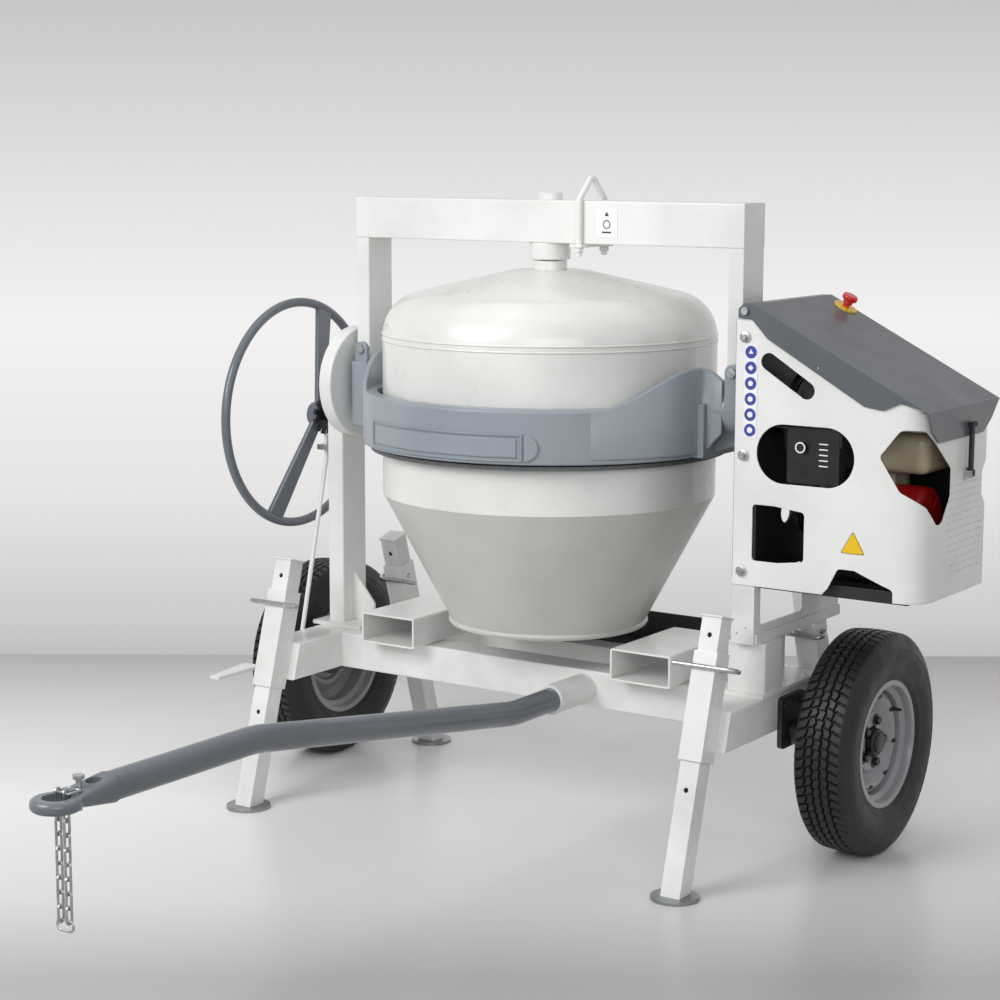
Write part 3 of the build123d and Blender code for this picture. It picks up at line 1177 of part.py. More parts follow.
def hood_side():
    """Outline of the hood's front and rear flanges."""
    hinge = [(HOOD_HINGE_X - 18, HOOD_HINGE_Z - 17), (HOOD_HINGE_X - 18, HOOD_HINGE_Z + 4)]
    top = [(HOOD_HIGH_X - 24, HOOD_HIGH_Z), (HOOD_HIGH_X, HOOD_HIGH_Z), (HOOD_LOW_X, HOOD_LOW_Z)]
    edge = [(1046, 1117), (1018, 1122), (978, 1104), (932, 1110), (690, 1248), (650, 1290)]
    return hinge + top + edge


def hood():
    sheet = HOOD_SHEET
    front = prism_y(hood_side(), HOOD_FRONT_Y, HOOD_FRONT_Y + sheet)
    rear = prism_y(hood_side(), HOOD_REAR_Y - sheet, HOOD_REAR_Y)
    under = HOOD_HIGH_Z - sheet
    top = prism_y([(HOOD_HIGH_X - 24, HOOD_HIGH_Z), (HOOD_HIGH_X, HOOD_HIGH_Z), (HOOD_LOW_X, HOOD_LOW_Z),
                   (HOOD_LOW_X, HOOD_LOW_Z - sheet * 1.2), (HOOD_HIGH_X, under), (HOOD_HIGH_X - 24, under)],
                  HOOD_FRONT_Y, HOOD_REAR_Y)
    end = prism_x([(HOOD_FRONT_Y, HOOD_LOW_Z), (HOOD_FRONT_Y + 22, 1062), (HOOD_FRONT_Y + 60, 1034), (150, 1034),
                   (196, 1062), (HOOD_REAR_Y, HOOD_LOW_Z)], HOOD_LOW_X - sheet, HOOD_LOW_X)
    body = front + rear + top + end
    body -= hinge_holes(HINGE_PIN_R + PIN_FIT)
    body -= rod_y(4, HOOD_FRONT_Y - 1, HOOD_FRONT_Y + 4, 816, 1190)
    return body - estop_place() * rod_z(ESTOP_STEM_R + 0.5, -20, 20, 0, 0)


def estop_place():
    """On the hood's top, with local Z along its outward normal."""
    return Pos(ESTOP_X, ESTOP_Y, hood_z(ESTOP_X)) * Rot(0, HOOD_ANGLE, 0)


def estop_collar():
    ring = rod_z(ESTOP_RING_R, 0, 4, 0, 0) - rod_z(ESTOP_STEM_R + 0.5, -1, 5, 0, 0)
    return estop_place() * ring


def estop_button():
    head = fillet(rod_z(ESTOP_HEAD_R, 20, 34, 0, 0).edges(), 5)
    neck = rod_z(ESTOP_STEM_R + 4, 12, 22, 0, 0)
    stem = rod_z(ESTOP_STEM_R, -14, 14, 0, 0)
    return estop_place() * (head + neck + stem)


def hood_hinge_pins():
    pins = []
    for y0, y1 in ((HOOD_FRONT_Y - 7, CARRIER_FRONT_Y + CARRIER_SHEET), (HOOD_REAR_Y - 14, HOOD_REAR_Y + 7)):
        pins.append(rod_y(HINGE_PIN_R, y0, y1, HOOD_HINGE_X, HOOD_HINGE_Z))
    pins[0] += rod_y(9, HOOD_FRONT_Y - 7, HOOD_FRONT_Y - 0.5, HOOD_HINGE_X, HOOD_HINGE_Z)
    pins[1] += rod_y(9, HOOD_REAR_Y + 0.5, HOOD_REAR_Y + 7, HOOD_HINGE_X, HOOD_HINGE_Z)
    return Compound(children=pins)


def panel_bolts():
    bolts = []
    for z in (1250, 979, 709):
        bolts.append(rod_y(8, PANEL_Y - 5, PANEL_Y, 632, z))
    return Compound(children=bolts)


def latch_base():
    x0 = PANEL_X1
    base = block(x0, x0 + 6, LATCH_Y - 11, LATCH_Y + 11, LATCH_Z - 14, LATCH_Z + 14)
    for side in (-1, 1):
        base += block(x0 + 6, x0 + 20, LATCH_Y + side * 11, LATCH_Y + side * 8.5, LATCH_Z - 8, LATCH_Z + 8)
    return base + rod_y(3, LATCH_Y - 9, LATCH_Y + 9, x0 + 13, LATCH_Z)


def hood_latch():
    """Rubber strap with its pull tab, turning on the base's pin."""
    x = PANEL_X1 + 13
    eye = rod_y(6.5, LATCH_Y - 7.5, LATCH_Y + 7.5, x, LATCH_Z)
    strap = block(x - 4, x + 4, LATCH_Y - 7, LATCH_Y + 7, LATCH_Z + 3, LATCH_Z + 112)
    grip = rod_y(7, LATCH_Y - 12, LATCH_Y + 12, x + 1.5, LATCH_Z + 112)
    return eye + strap + grip - rod_y(3 + PIN_FIT, LATCH_Y - 14, LATCH_Y + 14, x, LATCH_Z)


# ---- all pieces ---------------------------------------------------------------------------------
def group(*shapes):
    """Pieces that share a node and stay separate solids."""
    solids = []
    for shape in shapes:
        solids.extend(shape.solids())
    return Compound(children=solids)


def chassis_pieces():
    return {
        "cross_beams": group(cross_beams(), tow_socket()),
        "side_beams": side_beams(),
        "leg_sleeves": leg_sleeves(),
        "fork_pockets": fork_pockets(),
        "rear_guard": rear_guard(),
        "axle": group(half_axles(), axle_brackets()),
        "towbar": towbar(),
        "towing_eye": towing_eye(),
        "left_post": left_post(),
        "gear_cover": gear_cover(),
        "shaft_bearings": group(post_bearings(), tilt_bearing()),
        "support_pedestal": support_pedestal(),
        "fixings": group(chain_shackle(), pawl_guide(), pedal_pivot(), panel_bolts(), hood_hinge_pins(), latch_base()),
    }


def engine_pieces():
    return {
        "engine_carrier": engine_carrier(),
        "engine_tray": engine_tray(),
        "engine_block": engine_block(),
        "recoil_cover": recoil_cover(),
        "fuel_tank": fuel_tank(),
        "air_filter": air_filter(),
        "muffler": muffler(),
        "control_box": group(control_box(), control_bracket()),
        "housing_panel": housing_panel(),
        "drive_belt": drive_belt(),
        "engine_pulley": engine_pulley(),
        "hood": hood(),
        "estop_collar": estop_collar(),
        "estop_button": estop_button(),
        "hood_latch": hood_latch(),
    }


def tilting_pieces():
    return {
        "arch": arch(),
        "hub_bearing": hub_bearing(),
        "lifting_hoop": group(lifting_hoop(), hoop_plate()),
        "yoke": yoke(),
        "yoke_bolts": yoke_bolts(),
        "trunnions": trunnions(),
        "tilt_wheel": tilt_wheel(),
        "drum_shell": drum_shell(),
        "drum_cone": drum_cone(),
        "crown_gear": group(crown_gear(), drum_flange()),
        "drum_hub": drum_hub(),
        "mixing_blades": mixing_blades(),
        "drum_pinion": group(drum_pinion(), driven_pulley()),
    }


def hand_pieces():
    return {
        "handwheel": handwheel(),
        "tilt_pinion": tilt_pinion(),
        "lock_disc": lock_disc(),
        "lock_rod": lock_rod(),
        "pedal_lever": pedal_lever(),
        "tow_chain": tow_chain(),
    }


def ground_pieces():
    parts = {}
    wheel_parts = {"tyre": tyre(), "rim": group(rim(), wheel_hub())}
    for name, shape in wheel_parts.items():
        parts[name + "_right"] = shape
        parts[name + "_left"] = flipped(shape)
    for name, side, foot_y, lean in leg_places():
        parts["leg_" + name] = leg(side, foot_y, lean)
        parts["leg_pin_" + name] = leg_pin(side, foot_y, lean)
    return parts


def all_pieces():
    parts = {}
    for some in (chassis_pieces(), engine_pieces(), tilting_pieces(), hand_pieces(), ground_pieces()):
        parts.update(some)
    return parts


PIECES = all_pieces()
FOOTPRINT = Compound(children=[copy.copy(shape) for shape in PIECES.values()]).bounding_box()
TO_ORIGIN = Pos(-(FOOTPRINT.min.X + FOOTPRINT.max.X) / 2, -(FOOTPRINT.min.Y + FOOTPRINT.max.Y) / 2, 0)
os.makedirs("parts", exist_ok=True)
for node, shape in PIECES.items():
    export_step(TO_ORIGIN * shape, "parts/" + node + ".step")
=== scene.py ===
"""Visual model of a towable concrete mixer, built around its CAD frame."""
import math

import bmesh
import bpy
from mathutils import Euler, Matrix, Vector


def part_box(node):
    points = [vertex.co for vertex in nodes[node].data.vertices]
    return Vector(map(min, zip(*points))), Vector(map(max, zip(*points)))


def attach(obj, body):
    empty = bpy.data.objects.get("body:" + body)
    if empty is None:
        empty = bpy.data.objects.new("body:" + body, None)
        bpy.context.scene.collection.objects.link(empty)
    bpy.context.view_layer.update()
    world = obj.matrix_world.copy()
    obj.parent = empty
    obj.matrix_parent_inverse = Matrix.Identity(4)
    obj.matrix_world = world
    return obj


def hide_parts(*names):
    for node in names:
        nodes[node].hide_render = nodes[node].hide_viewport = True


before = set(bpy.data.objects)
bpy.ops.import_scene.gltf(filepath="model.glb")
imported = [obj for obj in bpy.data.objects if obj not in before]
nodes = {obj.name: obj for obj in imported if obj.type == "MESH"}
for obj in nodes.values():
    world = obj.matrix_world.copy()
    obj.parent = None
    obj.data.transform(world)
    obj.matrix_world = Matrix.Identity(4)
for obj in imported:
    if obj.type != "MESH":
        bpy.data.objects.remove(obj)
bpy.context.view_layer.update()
scene = bpy.context.scene

# ---- places read from the CAD frame -------------------------------------------------------------
cone_low, cone_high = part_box("drum_cone")
AXIS_X = (cone_low.x + cone_high.x) / 2
AXIS_Y = (cone_low.y + cone_high.y) / 2


def at(x, y, z):
    """Point in the frame from a place about the drum's axis."""
    return Vector((AXIS_X + x, AXIS_Y + y, z))


# ---- camera, placed from the drum's axis --------------------------------------------------------
CAMERA_PLACE = (3.0570, -4.7081, 1.6743)
CAMERA_YAW = 34.251
CAMERA_PITCH = 8.879
CAMERA_ROLL = 0.129
CAMERA_LENS = 81.30
SENSOR_WIDTH = 36.0
camera_data = bpy.data.cameras.new("camera")
camera_data.sensor_width = SENSOR_WIDTH
camera_data.lens = CAMERA_LENS
camera = bpy.data.objects.new("camera", camera_data)
turn = Euler((math.radians(90 - CAMERA_PITCH), 0, math.radians(CAMERA_YAW))).to_matrix()
camera.matrix_world = Matrix.Translation(at(*CAMERA_PLACE)) @ (turn @ Matrix.Rotation(
    math.radians(CAMERA_ROLL), 3, "Z")).to_4x4()
scene.collection.objects.link(camera)
scene.camera = camera


# ---- materials ----------------------------------------------------------------------------------
BUMP_DISTANCE = 0.001
CAST_DISTANCE = 0.004
DUST_COLOUR = (0.55, 0.53, 0.50)
DUST_TOP = 0.55


def linear(rgb):
    """Linear values of a colour given as display values."""
    return [((c + 0.055) / 1.055) ** 2.4 if c > 0.04045 else c / 12.92 for c in rgb] + [1.0]


def scaled(rgb, factor):
    return linear([c * factor for c in rgb])


def new_material(name):
    material = bpy.data.materials.new(name)
    material.use_nodes = True
    return material, material.node_tree.nodes, material.node_tree.links


def object_place(tree):
    return tree.new("ShaderNodeTexCoord").outputs["Object"]


def height_of(tree, links, place):
    split = tree.new("ShaderNodeSeparateXYZ")
    links.new(place, split.inputs["Vector"])
    return split.outputs["Z"]


def noise(tree, links, place, scale, detail=4.0):
    node = tree.new("ShaderNodeTexNoise")
    node.inputs["Scale"].default_value = scale
    node.inputs["Detail"].default_value = detail
    node.inputs["Roughness"].default_value = 0.55
    links.new(place, node.inputs["Vector"])
    return node.outputs["Fac"]


def ramp(tree, links, value, low, high, out_low, out_high):
    node = tree.new("ShaderNodeMapRange")
    node.inputs["From Min"].default_value = low
    node.inputs["From Max"].default_value = high
    node.inputs["To Min"].default_value = out_low
    node.inputs["To Max"].default_value = out_high
    links.new(value, node.inputs["Value"])
    return node.outputs["Result"]


def patches(tree, links, place, scale, low, high, out_low, out_high):
    """Noise stretched between two values."""
    return ramp(tree, links, noise(tree, links, place, scale), low, high, out_low, out_high)


def product(tree, links, first, second):
    node = tree.new("ShaderNodeMath")
    node.operation = "MULTIPLY"
    links.new(first, node.inputs[0])
    links.new(second, node.inputs[1])
    return node.outputs["Value"]


def mix_colour(tree, links, value, first, second):
    node = tree.new("ShaderNodeMix")
    node.data_type = "RGBA"
    links.new(value, node.inputs["Factor"])
    for socket, colour in ((node.inputs[6], first), (node.inputs[7], second)):
        if isinstance(colour, list):
            socket.default_value = colour
        else:
            links.new(colour, socket)
    return node.outputs[2]


def soft_edges(tree, radius, samples=6):
    """Normal that shades sharp edges as round ones."""
    node = tree.new("ShaderNodeBevel")
    node.samples = samples
    node.inputs["Radius"].default_value = radius
    return node.outputs["Normal"]


def bumped(tree, links, height, strength, normal, distance=BUMP_DISTANCE):
    node = tree.new("ShaderNodeBump")
    node.inputs["Strength"].default_value = strength
    node.inputs["Distance"].default_value = distance
    links.new(height, node.inputs["Height"])
    links.new(normal, node.inputs["Normal"])
    return node.outputs["Normal"]


def edge_mask(tree, links, radius):
    """Near 1 on sharp edges and 0 on open faces."""
    dot = tree.new("ShaderNodeVectorMath")
    dot.operation = "DOT_PRODUCT"
    links.new(soft_edges(tree, radius, 4), dot.inputs[0])
    links.new(tree.new("ShaderNodeNewGeometry").outputs["Normal"], dot.inputs[1])
    return ramp(tree, links, dot.outputs["Value"], 0.97, 0.80, 0.0, 1.0)


def paint(name, rgb, rough=0.34, edge=0.0018, edge_highlight=0.25, coat=0.25, dirt=0.05, cast=0.0):
    """Sprayed paint: faint colour drift, orange peel, dust low down and a painted highlight that lightens the
    sharp edges.
    """
    material, tree, links = new_material(name)
    shader = tree["Principled BSDF"]
    place = object_place(tree)
    paler = linear([min(1.0, c * 1.12 + 0.03) for c in rgb])
    drift = patches(tree, links, place, 3.2, 0.35, 0.65, 0.0, 1.0)
    colour = mix_colour(tree, links, drift, linear(rgb), scaled(rgb, 0.93))
    low = ramp(tree, links, height_of(tree, links, place), DUST_TOP, 0.0, 0.0, 1.0)
    dust = product(tree, links, low, patches(tree, links, place, 14.0, 0.45, 0.75, 0.0, dirt * 6))
    colour = mix_colour(tree, links, dust, colour, linear(DUST_COLOUR))
    # painted highlight: the sharp edges are lightened in patches, standing in for light catching them
    edges = edge_mask(tree, links, edge)
    painted_edge_highlight = product(tree, links, edges, patches(tree, links, place, 40.0, 0.40, 0.70, 0.0, edge_highlight * 2))
    links.new(mix_colour(tree, links, painted_edge_highlight, colour, paler), shader.inputs["Base Color"])
    links.new(patches(tree, links, place, 9.0, 0.3, 0.7, rough - 0.05, rough + 0.07),
              shader.inputs["Roughness"])
    shader.inputs["Coat Weight"].default_value = coat
    shader.inputs["Coat Roughness"].default_value = 0.12
    normal = soft_edges(tree, edge)
    if cast:
        normal = bumped(tree, links, noise(tree, links, place, 55.0, 3.0), cast, normal, CAST_DISTANCE)
    peel = noise(tree, links, place, 260.0, 2.0)
    links.new(bumped(tree, links, peel, 0.035, normal), shader.inputs["Normal"])
    return material


def split_by_height(name, low_look, high_look, height):
    """One look below a height and another above it, each a colour, a roughness and a metallic value."""
    material, tree, links = new_material(name)
    tree.remove(tree["Principled BSDF"])
    place = object_place(tree)
    above = tree.new("ShaderNodeMath")
    above.operation = "GREATER_THAN"
    above.inputs[1].default_value = height
    links.new(height_of(tree, links, place), above.inputs[0])
    mixer = tree.new("ShaderNodeMixShader")
    links.new(above.outputs["Value"], mixer.inputs["Fac"])
    for index, (rgb, rough, metallic) in ((1, low_look), (2, high_look)):
        shader = tree.new("ShaderNodeBsdfPrincipled")
        drift = patches(tree, links, place, 6.0, 0.35, 0.65, 0.0, 1.0)
        links.new(mix_colour(tree, links, drift, linear(rgb), scaled(rgb, 0.92)), shader.inputs["Base Color"])
        links.new(patches(tree, links, place, 24.0, 0.3, 0.7, rough - 0.05, rough + 0.08),
                  shader.inputs["Roughness"])
        shader.inputs["Metallic"].default_value = metallic
        links.new(soft_edges(tree, 0.002), shader.inputs["Normal"])
        links.new(shader.outputs["BSDF"], mixer.inputs[index])
    links.new(mixer.outputs["Shader"], tree["Material Output"].inputs["Surface"])
    return material


def bare_metal(name, rgb, rough=0.32, metallic=1.0):
    """Zinc or turned steel with patchy reflections."""
    material, tree, links = new_material(name)
    shader = tree["Principled BSDF"]
    place = object_place(tree)
    cells = tree.new("ShaderNodeTexVoronoi")
    cells.inputs["Scale"].default_value = 144.0
    links.new(place, cells.inputs["Vector"])
    spangle = ramp(tree, links, cells.outputs["Color"], 0.0, 1.0, 0.0, 1.0)
    links.new(mix_colour(tree, links, spangle, linear(rgb), scaled(rgb, 0.86)), shader.inputs["Base Color"])
    shader.inputs["Metallic"].default_value = metallic
    links.new(patches(tree, links, place, 35.0, 0.3, 0.7, rough - 0.08, rough + 0.12),
              shader.inputs["Roughness"])
    grain = noise(tree, links, place, 120.0)
    links.new(bumped(tree, links, grain, 0.08, soft_edges(tree, 0.001)), shader.inputs["Normal"])
    return material


def soft_black(name, rgb, rough=0.6, grain=180.0, strength=0.15):
    """Rubber and moulded plastic with a fine grain."""
    material, tree, links = new_material(name)
    shader = tree["Principled BSDF"]
    place = object_place(tree)
    drift = patches(tree, links, place, 8.0, 0.35, 0.65, 0.0, 1.0)
    links.new(mix_colour(tree, links, drift, linear(rgb), scaled(rgb, 1.25)), shader.inputs["Base Color"])
    links.new(patches(tree, links, place, 22.0, 0.3, 0.7, rough - 0.08, rough + 0.08),
              shader.inputs["Roughness"])
    pores = noise(tree, links, place, grain)
    links.new(bumped(tree, links, pores, strength, soft_edges(tree, 0.001, 4)), shader.inputs["Normal"])
    return material


CREAM = paint("cream_paint", (0.905, 0.91, 0.90), rough=0.36, edge=0.0025)
DRUM = paint("drum_paint", (0.90, 0.905, 0.89), rough=0.30, edge=0.002, coat=0.35, dirt=0.02)
CONE = paint("cone_paint", (0.79, 0.79, 0.775), rough=0.42, edge=0.002, dirt=0.02)
SLATE = paint("slate_paint", (0.405, 0.43, 0.46), rough=0.33, edge=0.0025, edge_highlight=0.4)
YOKE = paint("yoke_paint", (0.575, 0.61, 0.645), rough=0.34, edge=0.007, edge_highlight=0.25, cast=0.05)
HOOD = paint("hood_paint", (0.345, 0.365, 0.385), rough=0.38, edge=0.002, edge_highlight=0.3)
WHEELRIM = paint("silver_paint", (0.60, 0.605, 0.62), rough=0.30, edge=0.0015, coat=0.2)
DARK = paint("dark_paint", (0.13, 0.135, 0.145), rough=0.40, edge_highlight=0.5)
ENGINE = paint("engine_black", (0.07, 0.07, 0.075), rough=0.45, edge_highlight=0.6)
RED = paint("red_paint", (0.62, 0.06, 0.07), rough=0.30)
BEIGE = paint("beige_paint", (0.70, 0.65, 0.55), rough=0.35)
ZINC = bare_metal("zinc_steel", (0.80, 0.81, 0.82))
IRON = bare_metal("cast_iron", (0.24, 0.24, 0.25), rough=0.5, metallic=0.8)
GEAR = bare_metal("gear_iron", (0.46, 0.47, 0.48), rough=0.5, metallic=0.6)
PLASTIC = soft_black("black_plastic", (0.085, 0.085, 0.09), rough=0.42)
RUBBER = soft_black("black_rubber", (0.075, 0.075, 0.08), rough=0.55)
TYRE = soft_black("tyre_rubber", (0.105, 0.105, 0.11), rough=0.50, grain=90.0, strength=0.12)
YELLOW = paint("yellow_plastic", (0.93, 0.76, 0.10), rough=0.30, edge_highlight=0.0)
BUTTON = paint("red_plastic", (0.80, 0.06, 0.08), rough=0.25, edge_highlight=0.0, coat=0.5)
WHITE = paint("label_white", (0.95, 0.95, 0.96), rough=0.35, edge_highlight=0.0)
BLUE = paint("label_blue", (0.22, 0.29, 0.62), rough=0.35, edge_highlight=0.0)
# colour, roughness and metallic value of painted or plated steel; the black one is painted shade
CREAM_LOOK = ((0.905, 0.91, 0.90), 0.36, 0.0)
SHADE_BLACK_LOOK = ((0.075, 0.075, 0.08), 0.50, 0.0)
ZINC_LOOK = ((0.62, 0.63, 0.64), 0.34, 0.9)
CARRIER_SHADE_SPLIT = 0.690
FOOT_TOP = 0.0085
# painted shade: the engine carrier is cream below the split and black above it, standing in for the shade
# inside the housing seen through its slot and windows
CARRIER = split_by_height("carrier_paint_and_shade", CREAM_LOOK, SHADE_BLACK_LOOK, CARRIER_SHADE_SPLIT)
LEG = split_by_height("leg_paint", ZINC_LOOK, CREAM_LOOK, FOOT_TOP)
LABEL_DARK = paint("label_dark", (0.22, 0.22, 0.24), rough=0.4, edge_highlight=0.0)


# ---- carried-over CAD nodes ---------------------------------------------------------------------
LOOKS = {
    "cross_beams": CREAM, "side_beams": CREAM, "leg_sleeves": CREAM, "fork_pockets": CREAM,
    "rear_guard": DARK, "axle": DARK, "towbar": SLATE, "towing_eye": SLATE, "left_post": CREAM,
    "gear_cover": CREAM, "shaft_bearings": IRON, "support_pedestal": CREAM, "fixings": ZINC,
    "engine_tray": DARK, "engine_block": ENGINE, "recoil_cover": RED, "fuel_tank": BEIGE,
    "air_filter": PLASTIC, "muffler": IRON, "control_box": PLASTIC, "housing_panel": CREAM,
    "drive_belt": RUBBER, "engine_pulley": IRON, "hood": HOOD, "estop_collar": YELLOW,
    "estop_button": BUTTON, "hood_latch": RUBBER, "arch": CREAM, "hub_bearing": CREAM,
    "lifting_hoop": CREAM, "yoke": YOKE, "yoke_bolts": ZINC, "trunnions": ZINC, "tilt_wheel": IRON,
    "drum_shell": DRUM, "drum_cone": CONE, "crown_gear": GEAR, "drum_hub": DRUM,
    "mixing_blades": CONE, "drum_pinion": IRON, "handwheel": SLATE, "tilt_pinion": IRON,
    "lock_disc": PLASTIC, "lock_rod": CREAM, "pedal_lever": CREAM, "tow_chain": ZINC,
    "engine_carrier": CARRIER,
}
for name, node in nodes.items():
    look = LOOKS.get(name)
    if name.startswith("leg_pin_"):
        look = ZINC
    elif name.startswith("leg_") and look is None:
        look = LEG
    elif look is None:
        look = TYRE if name.startswith("tyre") else WHEELRIM
    if not node.material_slots:
        node.data.materials.append(look)
    for material_slot in node.material_slots:
        material_slot.material = look


# ---- mesh helpers -------------------------------------------------------------------------------
def add_piece(name, verts, faces, material, body, angle=32):
    """Mesh that rides on a body; edges sharper than the angle, in degrees, stay sharp."""
    mesh = bpy.data.meshes.new(name)
    mesh.from_pydata([tuple(v) for v in verts], [], faces)
    mesh.validate()
    work = bmesh.new()
    work.from_mesh(mesh)
    bmesh.ops.recalc_face_normals(work, faces=work.faces)
    work.to_mesh(mesh)
    work.free()
    mesh.shade_smooth()
    mesh.set_sharp_from_angle(angle=math.radians(angle))
    mesh.materials.append(material)
    piece = bpy.data.objects.new(name, mesh)
    scene.collection.objects.link(piece)
    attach(piece, body)
    return piece


def basis(normal):
    """Two directions square to the normal, the second as near to up as can be."""
    normal = Vector(normal).normalized()
    up = Vector((0, 0, 1)) if abs(normal.z) < 0.9 else Vector((0, 1, 0))
    side = up.cross(normal).normalized()
    return side, normal.cross(side).normalized(), normal


def ring_faces(start, after, count):
    """Faces between two closed rings of as many points."""
    return [(start + i, start + (i + 1) % count, after + (i + 1) % count, after + i) for i in range(count)]


def turned(name, profile, centre, normal, material, body, steps):
    """Closed outline of (distance along the normal, radius) points, turned about the normal."""
    side, up, along = basis(normal)
    count = len(profile)
    verts = []
    faces = []
    for step in range(steps):
        a = 2 * math.pi * step / steps
        outward = side * math.cos(a) + up * math.sin(a)
        verts += [centre + along * d + outward * r for d, r in profile]
        faces += ring_faces(step * count, ((step + 1) % steps) * count, count)
    return add_piece(name, verts, faces, material, body)


def plate(name, outline, centre, normal, thick, material, body):
    """Flat outline of (side, up) points, standing thick off the face at the centre."""
    side, up, along = basis(normal)
    flat = [centre + side * u + up * v for u, v in outline]
    count = len(flat)
    verts = flat + [point + along * thick for point in flat]
    faces = [tuple(range(count))[::-1], tuple(range(count, 2 * count))]
    faces += ring_faces(0, count, count)
    return add_piece(name, verts, faces, material, body)


def disc_outline(radius, thick):
    return [(0, 0.0), (thick, 0.0), (thick, radius), (0, radius)]


def ring_outline(inner, outer, thick):
    return [(0, inner), (thick, inner), (thick, outer), (0, outer)]


def rounded_box_outline(width, height, radius, steps=6):
    points = []
    for cx, cy, start in ((1, 1, 0), (-1, 1, 90), (-1, -1, 180), (1, -1, 270)):
        for step in range(steps + 1):
            a = math.radians(start + 90 * step / steps)
            points.append((cx * (width / 2 - radius) + radius * math.cos(a),
                           cy * (height / 2 - radius) + radius * math.sin(a)))
    return points


def hex_bolt(name, centre, normal, across, body, material=ZINC):
    """Domed six-sided head on a washer; its rows are (depth in widths, share of the radius)."""
    side, up, along = basis(normal)
    rows = [(0.0, 1.0), (0.55, 1.0), (0.66, 0.90), (0.66, 0.40), (0.62, 0.36)]
    radius = across / math.sqrt(3)
    lift = 0.12 * across
    verts = []
    for depth, scale in rows:
        for k in range(6):
            a = math.radians(60 * k + 12)
            outward = side * math.cos(a) + up * math.sin(a)
            verts.append(centre + along * (lift + depth * across) + outward * radius * scale)
    faces = [tuple(range(5, -1, -1))]
    for row in range(len(rows) - 1):
        faces += ring_faces(row * 6, row * 6 + 6, 6)
    faces.append(tuple(range(len(rows) * 6 - 6, len(rows) * 6)))
    add_piece(name, verts, faces, material, body, angle=20)
    washer = [(0, 0.0), (lift, 0.0), (lift, across * 0.88), (lift * 0.7, across * 0.95), (0, across * 0.95)]
    turned(name + "_washer", washer, centre, normal, material, body, 32)


# ---- tyres --------------------------------------------------------------------------------------
TREAD_HALF = 0.053
TREAD_DEPTH = 0.0075
TREAD_CROWN = 0.0030
TREAD_STEPS = 64
PITCHES = 72
WAVE = 0.030
GROOVES = ((-0.56, 0.045), (-0.19, 0.05), (0.19, 0.05), (0.56, 0.045))
AROUND_STEPS = 864
BEAD_DEPTH = 0.1235
NOTCH_DEPTH = 0.0012
NOTCH_ROWS = (12, 13)


def tread_depth(across, around):
    """Depth of the pattern at a place across the tread, -1 to 1, and around it, in turns."""
    wave = WAVE * math.sin(2 * math.pi * around * PITCHES)
    depth = 0.0
    for groove_middle, groove_half in GROOVES:
        if abs(across - groove_middle - wave) < groove_half:
            depth = 1.0
    phase = (around * PITCHES + 0.9 * abs(across)) % 1.0
    if abs(across) > 0.62 and phase < 0.22:
        depth = max(depth, 0.9)
    if 0.24 < abs(across) < 0.52 and phase < 0.13:
        depth = max(depth, 0.55)
    if abs(across) < 0.14 and (phase + 0.5) % 1.0 < 0.10:
        depth = max(depth, 0.4)
    return depth


def tyre_profile(radius, half, bead):
    """Half outline from the bead to the tread's edge: (distance from the middle plane, radius)."""
    rows = [(half - 0.019, bead), (half - 0.0175, bead + 0.006), (half - 0.014, bead + 0.013)]
    rows += [(half - 0.008, bead + 0.022), (half - 0.0085, bead + 0.024), (half - 0.005, bead + 0.033)]
    rows += [(half - 0.0015, bead + 0.050), (half, bead + 0.066), (half - 0.0008, bead + 0.075)]
    rows += [(half - 0.0030, bead + 0.084), (half - 0.0022, bead + 0.0855), (half - 0.0052, bead + 0.094)]
    rows += [(half - 0.0098, radius - 0.0165), (half - 0.0130, radius - 0.0095)]
    rows += [(half - 0.0175, radius - 0.0045)]
    return rows


def build_tyre(node, body):
    low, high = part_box(node)
    centre = (low + high) / 2
    radius = (high.z - low.z) / 2 - 0.0002
    half = (high.x - low.x) / 2
    rows = tyre_profile(radius, half, radius - BEAD_DEPTH)
    count = 2 * len(rows) + TREAD_STEPS + 1
    notched = [index for row in NOTCH_ROWS for index in (row, count - 1 - row)]
    verts = []
    faces = []
    for step in range(AROUND_STEPS):
        a = 2 * math.pi * step / AROUND_STEPS
        ring = [(-x, r) for x, r in rows]
        for k in range(TREAD_STEPS + 1):
            across = -1 + 2 * k / TREAD_STEPS
            crown = radius - TREAD_CROWN * across * across
            depth = TREAD_DEPTH * tread_depth(across, step / AROUND_STEPS)
            ring.append((across * TREAD_HALF, crown - depth))
        ring += list(reversed(rows))
        notch = NOTCH_DEPTH if (step // 3) % 4 == 0 else 0.0
        for index, (x, r) in enumerate(ring):
            r -= notch if index in notched else 0.0
            verts.append(centre + Vector((x, r * math.sin(a), r * math.cos(a))))
        faces += ring_faces(step * count, ((step + 1) % AROUND_STEPS) * count, count)
    piece = add_piece(node + "_tread", verts, faces, TYRE, body, angle=38)
    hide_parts(node)


# ---- wheels -------------------------------------------------------------------------------------
FLANGE_R = 0.1445
NUT_COUNT = 5
NUT_CIRCLE = 0.053
SLOT_COUNT = 8
SLOT_CIRCLE = 0.109


def on_wheel(centre, side, out, circle, degrees):
    """Place on a circle about the wheel's axis, out from its middle plane."""
    a = math.radians(degrees)
    return centre + Vector((side * out, circle * math.sin(a), circle * math.cos(a)))


